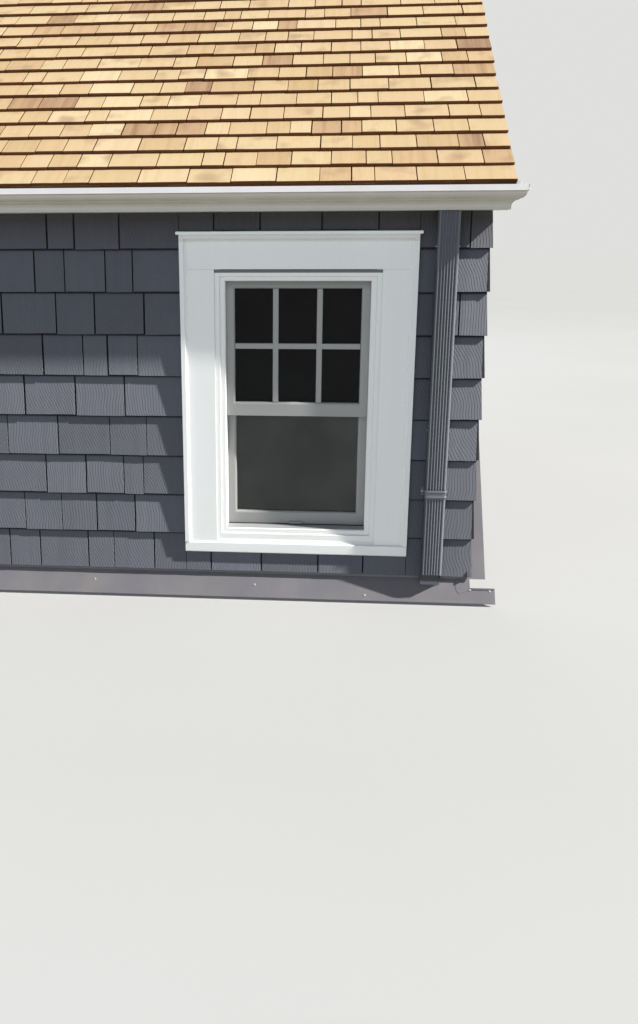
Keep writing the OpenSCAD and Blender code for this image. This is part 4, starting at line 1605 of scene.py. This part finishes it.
@dataclass
class WindowFittings:
    """Bars, locks, lifts, tracks, filled joints and painted shade of the windows: a near-black strip under
    each lower sash and a grey bead in each head groove.
    """

    bar_w: float = 0.022
    glass_y: float = 0.0295
    glass_t: float = 0.004
    bar_out: float = 0.0145
    low: float = 0.711
    high: float = 1.147
    pane_w: float = 0.147
    rail_y: float = 0.0645
    lock_z: float = 0.711
    screw_x: float = 0.0155
    lift_z: float = 0.226
    lift_half: float = 0.026
    sash_y: float = 0.0470
    frame_w: float = 0.041
    joint_start: float = 0.0416
    joint_short: float = 0.0700
    centres: tuple[float, float] = (-SIZES.window_x, SIZES.window_x)

    def section(self, depth: float) -> list[Corner]:
        """Gives a bar's section, across and out from the glass.

        Args:
            depth: How far it stands out.

        Returns:
            Corners of the section.
        """
        half = self.bar_w / 2.0
        side = [(half, 0.0), (half, depth - 0.0040), (half - 0.0006, depth - 0.0012), (half - 0.0018, depth)]
        return side + [(-a, b) for a, b in reversed(side)]

    def run(self, pen: Pen, section: Sequence[Corner], half: float, y: float, z: float,
            wide: Point = INWARD, deep: Point = UPWARD) -> None:
        """Adds a level moulding to each window.

        Args:
            pen: Pen to draw with.
            section: Closed outline, across and out.
            half: Half its length.
            y: Depth of the section's origin.
            z: Height of the section's origin.
            wide: Unit vector of the section's first axis.
            deep: Unit vector of the section's second axis.
        """
        for centre in self.centres:
            pen.prism(section, (centre - half, y, z), (2.0 * half, 0.0, 0.0), wide, deep)

    def bars(self) -> None:
        """Builds the bars of the upper sashes, on both faces of the glass."""
        step = self.pane_w + self.bar_w
        half = 1.5 * self.pane_w + self.bar_w
        rise = (0.0, 0.0, self.high - self.low)
        upright, level = self.section(self.bar_out), self.section(self.bar_out - 0.0004)
        pen = Pen()
        for centre in self.centres:
            for face, out in ((self.glass_y, OUTWARD), (self.glass_y + self.glass_t, INWARD)):
                for x in (centre - step / 2.0, centre + step / 2.0):
                    pen.prism(upright, (x, face, self.low), rise, ACROSS, out, x)
                pen.prism(level, (centre - half, face, (self.low + self.high) / 2.0), (2.0 * half, 0.0, 0.0),
                          UPWARD, out, centre)
        pen.piece("window_bars", SASH_PAINT)

    def locks(self) -> None:
        """Builds a cam lock on each pair of check rails."""
        plate = [(-0.022, -0.008), (-0.019, -0.010), (0.019, -0.010), (0.022, -0.008), (0.022, 0.008),
                 (0.019, 0.010), (-0.019, 0.010), (-0.022, 0.008)]
        boss = [(0.0075, 0.002), (0.0075, 0.0068), (0.0060, 0.0084), (0.0020, 0.0090)]
        lever = [(-0.003, -0.0035), (0.018, -0.0028), (0.021, 0.0), (0.018, 0.0028), (-0.003, 0.0035)]
        screw = [(0.0028, 0.0020), (0.0028, 0.0031), (0.0016, 0.0038), (0.0004, 0.0040)]
        pen = Pen()
        for centre in self.centres:
            spot = (centre, self.rail_y, self.lock_z)
            pen.prism(plate, spot, (0.0, 0.0, 0.0025), ACROSS, INWARD)
            pen.turning(boss, spot, UPWARD)
            pen.prism(lever, (centre, self.rail_y, self.lock_z + 0.0055), (0.0, 0.0, 0.0028),
                      (0.94, -0.34, 0.0), (0.34, 0.94, 0.0))
            for x in (-self.screw_x, self.screw_x):
                pen.turning(screw, (centre + x, self.rail_y, self.lock_z), UPWARD, 12)
        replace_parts(pen.piece("cam_locks", LOCK_COAT, smooth=True), "sash_locks")

    def lifts(self) -> None:
        """Builds the lift at the foot of each lower sash."""
        pen = Pen()
        section = [(0.0, 0.0), (0.0, 0.0065), (-0.0015, 0.0105), (-0.0050, 0.0120), (-0.0070, 0.0105),
                   (-0.0052, 0.0085), (-0.0040, 0.0030), (-0.0040, 0.0)]
        self.run(pen, section, self.lift_half, self.sash_y + 0.0001, self.lift_z - 0.012, UPWARD, OUTWARD)
        pen.piece("sash_lifts", SASH_PAINT, smooth=True)

    def strips(self) -> None:
        """Builds a near-black strip under the bottom rail of each lower sash: painted shade for the gap
        there.
        """
        pen = Pen()
        section = [(0.0, 0.0), (0.0, 0.0058), (-0.0012, 0.0070), (-0.0028, 0.0070), (-0.0040, 0.0058),
                   (-0.0040, 0.0)]
        self.run(pen, section, SIZES.light_w / 2.0 - 0.0006, self.sash_y, SIZES.light_z + 0.0004)
        pen.piece("sash_rail_gap_shades", RAIL_GAP_SHADE)

    def tracks(self) -> None:
        """Builds the grey track that the lower sash closes on, over the foot of each frame."""
        pen = Pen()
        section = [(-0.0020, 0.0004), (0.0462, 0.0004), (0.0462, 0.0030), (0.0440, 0.0036), (0.0040, 0.0016),
                   (-0.0020, 0.0010)]
        self.run(pen, section, SIZES.light_w / 2.0 - 0.0008, 0.0, SIZES.light_z)
        pen.piece("sill_tracks", SILL_TRACK)

    def groove_shade(self) -> None:
        """Builds a grey bead in the groove over the head of each frame: painted shade that stands for the
        groove's shadow.
        """
        pen = Pen()
        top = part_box("window_frames")[1][2] - 0.0004
        section = [(0.0030, 0.0), (0.0134, 0.0), (0.0148, -0.0014), (0.0148, -0.0106), (0.0141, -0.0116),
                   (0.0030, -0.0078)]
        self.run(pen, section, SIZES.light_w / 2.0 + self.frame_w - 0.0004, 0.0, top, OUTWARD)
        pen.piece("head_groove_shade", GROOVE_SHADE)

    def joints(self) -> None:
        """Builds the filled joints between head and side casings."""
        pen = Pen()
        face = -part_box("window_casings")[0][1]
        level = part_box("window_frames")[1][2] + 0.0006
        section = rectangle(face - 0.0010, face + 0.0003, -0.0008, 0.0006)
        start = SIZES.light_w / 2.0 + self.joint_start
        width = SIZES.case_x - SIZES.light_w / 2.0 - self.joint_short
        for centre in self.centres:
            for left in (centre + (-start - width), centre + start):
                pen.prism(section, (left, 0.0, level), (width, 0.0, 0.0), OUTWARD, UPWARD)
        pen.piece("casing_joints", JOINT_FILLER)

    def build(self) -> None:
        """Builds all fittings."""
        self.bars()
        self.locks()
        self.lifts()
        self.strips()
        self.tracks()
        self.groove_shade()
        self.joints()


# Sheet metal fittings


@dataclass
class GutterFittings:
    """Mitre seams and hangers of the gutter."""

    back_y: float = -0.020
    floor: float = 0.076
    width: float = 0.127
    height: float = 0.082
    lip: float = 0.020
    end: float = 0.059
    hangers: int = 7
    hung: float = 3.40
    strap_w: float = 0.025

    def face(self) -> list[Corner]:
        """Gives the gutter's face.

        Returns:
            Run and height, from the floor's front edge to the lip.
        """
        rise, bead, lip_z = 0.010, 0.005, self.height - self.lip
        bead_z = lip_z - 0.004
        cove = (self.width - self.floor - bead) / 2.0
        middle, tall = self.floor + cove, bead_z - rise - cove - 0.003
        return [(self.floor, 0.0), *arc(middle, rise, cove, 180.0, -90.0, 6),
                *arc(middle, bead_z, tall, 270.0, 90.0, 6), (self.width - bead, bead_z + 0.001),
                (self.width, lip_z), (self.width, self.height)]

    def seams(self) -> None:
        """Builds the sealed mitre at each end."""
        pen = Pen()
        corner = SIZES.half_w + self.end - self.floor
        for side in Side:
            path = [(side.value * (corner + run), self.back_y - run, SIZES.gutter_z + height)
                    for run, height in self.face()]
            pen.tube(path, 0.0011)
        pen.piece("gutter_mitre_seams", GUTTER_COAT, smooth=True)

    def straps(self) -> None:
        """Builds the hidden hangers between the back and the lip."""
        pen = Pen()
        top = SIZES.gutter_z + self.height
        shape = [(0.0, -0.012), (0.0016, -0.012), (0.0016, -0.0042), (0.012, -0.0046), (0.030, -0.0072),
                 (0.076, -0.0072), (0.094, -0.0046), (0.104, -0.0042), (0.104, -0.0058), (0.095, -0.0062),
                 (0.077, -0.0088), (0.029, -0.0088), (0.011, -0.0062), (0.0, -0.0058)]
        head = [(0.0045, 0.0), (0.0045, 0.0030), (0.0036, 0.0040), (0.0010, 0.0043)]
        for k in range(self.hangers):
            x = (k - (self.hangers - 1) / 2.0) * self.hung / (self.hangers - 1)
            pen.prism(shape, (x - self.strap_w / 2.0, self.back_y - 0.0002, top), (self.strap_w, 0.0, 0.0),
                      OUTWARD, UPWARD)
            pen.turning(head, (x, self.back_y - 0.0018, top - 0.0090), OUTWARD, 6)
        pen.piece("gutter_hangers", ZINC)

    def build(self) -> None:
        """Builds all fittings."""
        self.seams()
        self.straps()


@dataclass
class SpoutFittings:
    """The fluted downspouts with rounded corners, their straps and screws."""

    centre: float = 1.681
    wall_y: float = -0.019
    back_y: float = -0.023
    width: float = 0.079
    depth: float = 0.058
    sheet: float = 0.0009
    round_r: float = 0.008
    back_r: float = 0.004
    flutes: int = 6
    steps: int = 12
    flute_d: float = 0.0042
    bow: float = 0.0030
    mouth_z: float = 0.045
    mouth_back: float = 0.008
    mouth_out: float = 0.005
    mouth_steep: float = 3.7
    lip: float = 0.008
    dark_from: float = 0.016
    side_shade: float = 0.90
    strap_z: float = 0.371
    strap_t: float = 0.0012
    ear: float = 0.012
    strap_screw_x: float = 0.0462
    pipe_screw_x: float = 0.0395
    pipe_screw_y: float = 0.034
    pipe_screws_z: tuple[float, float] = (0.62, 1.30)

    def plan(self) -> list[Point]:
        """Gives the pipe's outline seen from above.

        Returns:
            Points, anticlockwise, and how dark the finish paints each of them: painted shade that grows with
            how sunk it lies.
        """
        half, r, back = self.width / 2.0, self.round_r, self.back_r
        flat, near = half - r, -self.depth + self.bow
        count = self.flutes * self.steps
        front = []
        for k in range(count + 1):
            across = flat * (2.0 * k / count - 1.0)
            sunk = (0.5 - 0.5 * math.cos(2.0 * math.pi * k / self.steps)) ** 0.8
            bowed = near - self.bow * (1.0 - (across / flat) ** 2)
            front.append((across, bowed + self.flute_d * sunk, 0.92 * sunk))
        left = arc(-half + back, -back, back, 90.0, 90.0, 3) + arc(-flat, near + r, r, 180.0, 90.0, 6)[:-1]
        right = arc(flat, near + r, r, 270.0, 90.0, 6)[1:] + arc(half - back, -back, back, 0.0, 90.0, 3)
        return [*((x, y, 0.0) for x, y in left), *front, *((x, y, 0.0) for x, y in right)]

    def offset(self, path: Sequence[Corner], by: float, closed: bool = True) -> list[Corner]:
        """Moves a path sideways, to its left where it is positive.

        Args:
            path: Points of the path.
            by: Distance to move each by.
            closed: True where the last point joins the first.

        Returns:
            The moved points.
        """
        moved = []
        for i, spot in enumerate(path):
            before = path[i - 1] if closed or i else spot
            after = path[(i + 1) % len(path)] if closed or i + 1 < len(path) else spot
            way = Vector((after[0] - before[0], after[1] - before[1])).normalized()
            moved.append((spot[0] - way.y * by, spot[1] + way.x * by))
        return moved

    def mouth(self, y: float) -> float:
        """Gives the height of the cut end of the pipe at a depth."""
        rise = (self.mouth_z - self.mouth_back) / (self.depth + self.mouth_out - self.mouth_back)
        return self.mouth_back - (y + self.mouth_back) * (rise if y < -self.mouth_back else self.mouth_steep)

    def pipes(self) -> None:
        """Builds both pipes as fluted sheet, cut slanting at the mouth, with painted shade in the flute
        valleys, inside and on the inner flank.
        """
        pen = Pen()
        plan = self.plan()
        outer = [(x, y) for x, y, _ in plan]
        inner = self.offset(outer, self.sheet)
        top = SIZES.gutter_z - 0.0002
        shaded_x = 0.0012 - self.width / 2.0 + 0.5 * self.round_r
        for side in Side:
            rings = []
            for path, rise in ((outer, 0.0), (outer, None), (inner, None), (inner, self.dark_from),
                               (inner, self.lip), (inner, 0.0)):
                ring = []
                for (x, y), (_, _, sunk) in zip(path, plan):
                    z = top if rise is None else self.mouth(y) + rise
                    # Painted shade: the inner flank and the flute valleys outside, and the inside from a
                    # little above the mouth up.
                    shaded = self.side_shade if x * side.value < shaded_x else sunk
                    dark = shaded if path is outer else 0.0 if rise in (0.0, self.lip) else 1.0
                    spot = (side.value * self.centre + x, self.back_y + y, z)
                    ring.append(pen.put(spot, (x, z, 0.0), (0.5, 0.5, dark)))
                rings.append(ring)
            for low, high in zip(rings, [*rings[1:], rings[0]]):
                for i in range(len(plan)):
                    j = (i + 1) % len(plan)
                    pen.face((low[i], low[j], high[j], high[i]))
        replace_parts(pen.piece("fluted_downspouts", SPOUT_COAT, smooth=True), "downspouts",
                    "downspout_fronts", "downspout_lips")

    def straps(self) -> None:
        """Builds a strap with two pressed ribs round each pipe."""
        half, r = self.width / 2.0 + 0.0003, self.round_r + 0.0003
        deep = self.depth + self.wall_y - self.back_y + 0.0003
        bend = [(half, -0.0032), (half + 0.0009, -0.0011), (half + 0.0030, -0.0002),
                (half + self.ear, -0.0002)]
        path = [*((-x, y) for x, y in reversed(bend)), *arc(-half + r, -deep + r, r, 180.0, 90.0, 6),
                *arc(half - r, -deep + r, r, 270.0, 90.0, 6), *bend]
        rib = [(0.0065, 0.0), (0.0080, 0.0014), (0.0105, 0.0022), (0.0130, 0.0014), (0.0145, 0.0),
               (0.0170, 0.0)]
        ribs = [*((-z, out) for z, out in reversed(rib)), *rib]
        pen = Pen()
        for side in Side:
            layers = [(z, self.offset(path, -self.strap_t - out, closed=False)) for z, out in ribs]
            layers += [(z, path) for z, _ in reversed(ribs)]
            rings = []
            for i in range(len(path)):
                ring = []
                for z, line in layers:
                    spot = (side.value * self.centre + line[i][0], self.wall_y + line[i][1], self.strap_z + z)
                    ring.append(pen.put(spot, (z, i * 0.01, 0.0), (0.5, 0.5, 0.35)))
                rings.append(ring)
            pen.bands(rings, True)
        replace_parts(pen.piece("ribbed_straps", SPOUT_COAT, smooth=True), "downspout_straps")

    def screws(self) -> None:
        """Builds the screws of the straps and of the pipes."""
        pen = Pen()
        head = [(0.0048, 0.0), (0.0048, 0.0010), (0.0034, 0.0014), (0.0034, 0.0036), (0.0028, 0.0044),
                (0.0008, 0.0046)]
        for side in Side:
            middle = side.value * self.centre
            for x in (-self.strap_screw_x, self.strap_screw_x):
                pen.turning(head, (middle + x, self.wall_y - 0.0012, self.strap_z), OUTWARD, 12)
            for z in self.pipe_screws_z:
                for way in (-1.0, 1.0):
                    spot = (middle + way * self.pipe_screw_x, self.wall_y - self.pipe_screw_y, z)
                    pen.turning(head, spot, (way, 0.0, 0.0), 12)
        pen.piece("spout_screws", ZINC, smooth=True)

    def build(self) -> None:
        """Builds the pipes and their fixings."""
        self.pipes()
        self.straps()
        self.screws()


@dataclass
class FlashingFittings:
    """Nails, corner tabs and hems of the apron."""

    length: float = 0.104
    thick: float = 0.0015
    tab_t: float = 0.0012
    tab_nail: float = 1.842
    end: float = 0.111

    def slope(self, x: float, up: float, height: float) -> Point:
        """Gives a point on the main slope."""
        c, s = math.cos(SIZES.main_pitch), math.sin(SIZES.main_pitch)
        return x, up * c - height * s, up * s + height * c

    def nails(self) -> None:
        """Builds the nails along the apron."""
        pen = Pen()
        out = (0.0, -math.sin(SIZES.main_pitch), math.cos(SIZES.main_pitch))
        head = [(0.0050, 0.0), (0.0050, 0.0010), (0.0034, 0.0019), (0.0008, 0.0023)]
        spots = [(0.30, -0.045), (0.97, -0.050), (1.42, -0.082), (1.920, -0.050), (self.tab_nail, -0.047)]
        for x, up in spots + [(-x, up) for x, up in spots]:
            level = self.thick + (self.tab_t if abs(x) == self.tab_nail else 0.0)
            pen.turning(head, self.slope(x, up, level), out, 14)
        pen.piece("apron_nails", NAIL_COAT, smooth=True)

    def sheet(self, pen: Pen, outline: Sequence[Corner], low: float, high: float, side: Side) -> None:
        """Adds a flat piece of sheet that lies on the slope.

        Args:
            pen: Pen to draw with.
            outline: Corners, across and up the slope, anticlockwise at the right end.
            low: Height of its lower face above the slope.
            high: Height of its upper face.
            side: End of the dormer that it lies at.
        """
        rings = [[pen.put(self.slope(side.value * x, up, height), (x, up, 0.0)) for x, up in outline]
                 for height in (low, high)]
        pen.bands(rings, side is Side.LEFT)

    def tabs(self) -> None:
        """Builds the flat tab and the folded edge at each foot of the corner, and the apron's hem."""
        pen = Pen()
        tab = [(1.787, -0.045), (1.7895, -0.054), (1.797, -0.064), (1.812, -0.060), (1.835, -0.052),
               (1.847, -0.052), (1.850, -0.046), (1.850, -0.041), (1.843, -0.039), (1.842, 0.004),
               (1.786, 0.004)]
        fold = [(1.848, -0.0455), (1.938, -0.0435), (1.939, -0.0390), (1.842, -0.0390)]
        for side in Side:
            self.sheet(pen, tab, self.thick, self.thick + self.tab_t, side)
            self.sheet(pen, fold, self.thick + 0.0001, self.thick + 0.0040, side)
        low, far = -self.length, SIZES.half_w + self.end - 0.001
        hem = [(low - 0.0004, 0.0), (low + 0.011, 0.0015), (low + 0.011, 0.0026), (low + 0.001, 0.0030),
               (low - 0.0012, 0.0018)]
        pen.bands([[pen.put(self.slope(x, up, h), (up, x, 0.0)) for up, h in hem] for x in (-far, far)], True)
        pen.piece("apron_hem_and_tabs", FLASHING_COAT)

    def build(self) -> None:
        """Builds all fittings."""
        self.nails()
        self.tabs()


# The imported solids


@dataclass
class PackedSolids:
    """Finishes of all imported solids, and the eased edges of some."""

    ease: float = 0.0015
    eased: tuple[str, ...] = ("window_casings", "head_caps", "window_sills", "fascia", "rake_boards",
                              "front_studs", "cheek_studs", "rafters", "window_headers")

    def finishes(self) -> dict[str, Finish]:
        """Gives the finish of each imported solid.

        Returns:
            The finishes by the solids' names.
        """
        groups = (
            (TIMBER[Axis.ACROSS], "front_sole window_headers front_top_plate back_ledger"),
            (TIMBER[Axis.MAIN_SLOPE], "cheek_soles"),
            (TIMBER[Axis.UPRIGHT], "front_studs cheek_studs"),
            (TIMBER[Axis.ROOF_SLOPE], "cheek_top_plates rafters"),
            (WALL_BOARDS, "front_sheathing cheek_sheathing"),
            (DECK_BOARDS, "roof_deck"),
            (WALL_PAINT, "front_shingles right_cheek_shingles left_cheek_shingles"),
            (CEDAR, "roof_shingles starter_course"),
            (TRIM_ACROSS, "fascia head_caps window_sills"),
            (TRIM_SLOPE, "rake_boards"),
            (TRIM_UPRIGHT, "window_casings"),
            (TRIM_BAND, "back_bands"),
            (GUTTER_COAT, "gutter gutter_ends drop_outlets"),
            (SPOUT_COAT, "downspouts downspout_fronts downspout_lips downspout_straps"),
            (FLASHING_COAT, "apron_flashing step_flashing top_flashing"),
            (FRAME_PAINT, "window_frames"),
            (SASH_PAINT, "upper_sashes lower_sashes"),
            (UPPER_GLASS, "upper_glass"),
            (LOWER_GLASS, "lower_glass"),
            (LOCK_COAT, "sash_locks"),
        )
        return {name: finish for finish, names in groups for name in names.split()}

    def build(self) -> None:
        """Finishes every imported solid."""
        for name, finish in self.finishes().items():
            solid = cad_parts[name]
            if not solid.material_slots:
                solid.data.materials.append(None)
            for socket in solid.material_slots:
                socket.material = finish.material()
            if name in self.eased:
                edge = solid.modifiers.new("eased_edges", "BEVEL")
                edge.width = self.ease
                edge.segments = 2
                edge.limit_method = "ANGLE"
                edge.angle_limit = math.radians(40.0)
            log.info("%s: %s", name, finish.name)


# Studio


@dataclass(frozen=True)
class Room(Mixer):
    """The room's pale light, with a backdrop that only the camera sees."""

    pale: Colour = (0.236, 0.262, 0.292)
    backdrop: Colour = (0.745, 0.750, 0.735)

    @property
    def tree(self) -> bpy.types.NodeTree:
        """The world's nodes."""
        return bpy.data.worlds[self.name].node_tree

    def build(self) -> None:
        """Makes the world."""
        world = bpy.data.worlds.new(self.name)
        world.use_nodes = True
        self.tree.nodes.clear()
        seen = self.node("ShaderNodeLightPath").outputs["Is Camera Ray"]
        glow = self.node("ShaderNodeBackground", self.blend(seen, self.pale, self.backdrop))
        self.node("ShaderNodeOutputWorld", glow.outputs[0])
        bpy.context.scene.world = world


@dataclass
class Studio:
    """Floor, lights and the camera."""

    camera_spot: Point = (1.285, -3.641, 1.294)
    yaw: float = math.radians(5.27)
    pitch: float = math.radians(15.75)
    roll: float = math.radians(-0.18)
    focal_px: float = 934.0
    middle_px: float = 250.0
    half_px: float = 319.0
    tall_px: float = 1024.0
    sensor: float = 36.0
    sun_from: Point = (5.15, -1.0, 4.75)
    sun_power: float = 7.2
    sun_angle: float = math.radians(1.3)
    floor_half: float = 180.0

    def camera(self) -> None:
        """Places the camera as the photograph's."""
        cy, sy, cp, sp = math.cos(self.yaw), math.sin(self.yaw), math.cos(self.pitch), math.sin(self.pitch)
        forward = Vector((-sy * cp, cy * cp, -sp))
        right = Vector((cy, sy, 0.0))
        up = right.cross(forward)
        level = right * math.cos(self.roll) + up * math.sin(self.roll)
        upright = up * math.cos(self.roll) - right * math.sin(self.roll)
        lens = bpy.data.cameras.new("camera")
        lens.lens = self.focal_px / self.tall_px * self.sensor
        lens.sensor_width = self.sensor
        lens.shift_x = (self.half_px - self.middle_px) / self.tall_px
        lens.clip_end = 600.0
        made = placed("camera", lens)
        turn = Matrix((level, upright, -forward)).transposed().to_4x4()
        made.matrix_world = Matrix.Translation(self.camera_spot) @ turn
        bpy.context.scene.camera = made

    def light(self, name: str, kind: str, spot: Point, aim: Point, power: float, colour: Colour) -> Any:
        """Adds a light.

        Args:
            name: Its name.
            kind: SUN or AREA.
            spot: Where it stands.
            aim: Point that it faces.
            power: Its power, in watts for an area.
            colour: Its colour.

        Returns:
            The light's data.
        """
        data = bpy.data.lights.new(name, kind)
        data.energy = power
        data.color = colour
        made = placed(name, data)
        made.location = spot
        made.rotation_mode = "QUATERNION"
        made.rotation_quaternion = (Vector(aim) - Vector(spot)).to_track_quat("-Z", "Y")
        return data

    def lights(self) -> None:
        """Adds the key light, two soft fills and the room's pale light."""
        key = self.light("key", "SUN", self.sun_from, (0.0, 0.0, 0.0), self.sun_power, (1.0, 0.965, 0.90))
        key.angle = self.sun_angle
        front = self.light("fill_front", "AREA", (-2.0, -8.0, 4.0), (0.0, 0.0, 1.0), 100.0, (0.80, 0.91, 1.0))
        front.size = 5.0
        back = self.light("fill_back", "AREA", (-3.0, 11.0, 9.0), (0.0, 1.2, 1.6), 420.0, (0.93, 0.96, 1.0))
        back.size = 9.0
        Room("studio").build()
        bpy.context.scene.view_settings.view_transform = "Standard"

    def floor(self) -> None:
        """Lays the plain floor under the lowest flashing."""
        level = CAD_BOX[0][2] - 0.012
        mesh = bpy.data.meshes.new("floor")
        corners = rectangle(-self.floor_half, self.floor_half, -self.floor_half, self.floor_half)
        mesh.from_pydata([(x, y, level) for x, y in corners], [], [(0, 1, 2, 3)])
        mesh.materials.append(FLOOR.material())
        placed("floor", mesh)

    def build(self) -> None:
        """Sets up the studio."""
        self.camera()
        self.lights()
        self.floor()


def main() -> None:
    """Builds the dressed dormer."""
    logging.basicConfig(level=logging.INFO, format="%(name)s %(message)s")
    for part in (Studio(), PackedSolids(), RoofCourses(), WallCourses(), WindowFittings(), GutterFittings(),
                 SpoutFittings(), FlashingFittings()):
        log.info("building %s", type(part).__name__)
        part.build()
    bpy.context.view_layer.update()


if __name__ == "__main__":
    main()
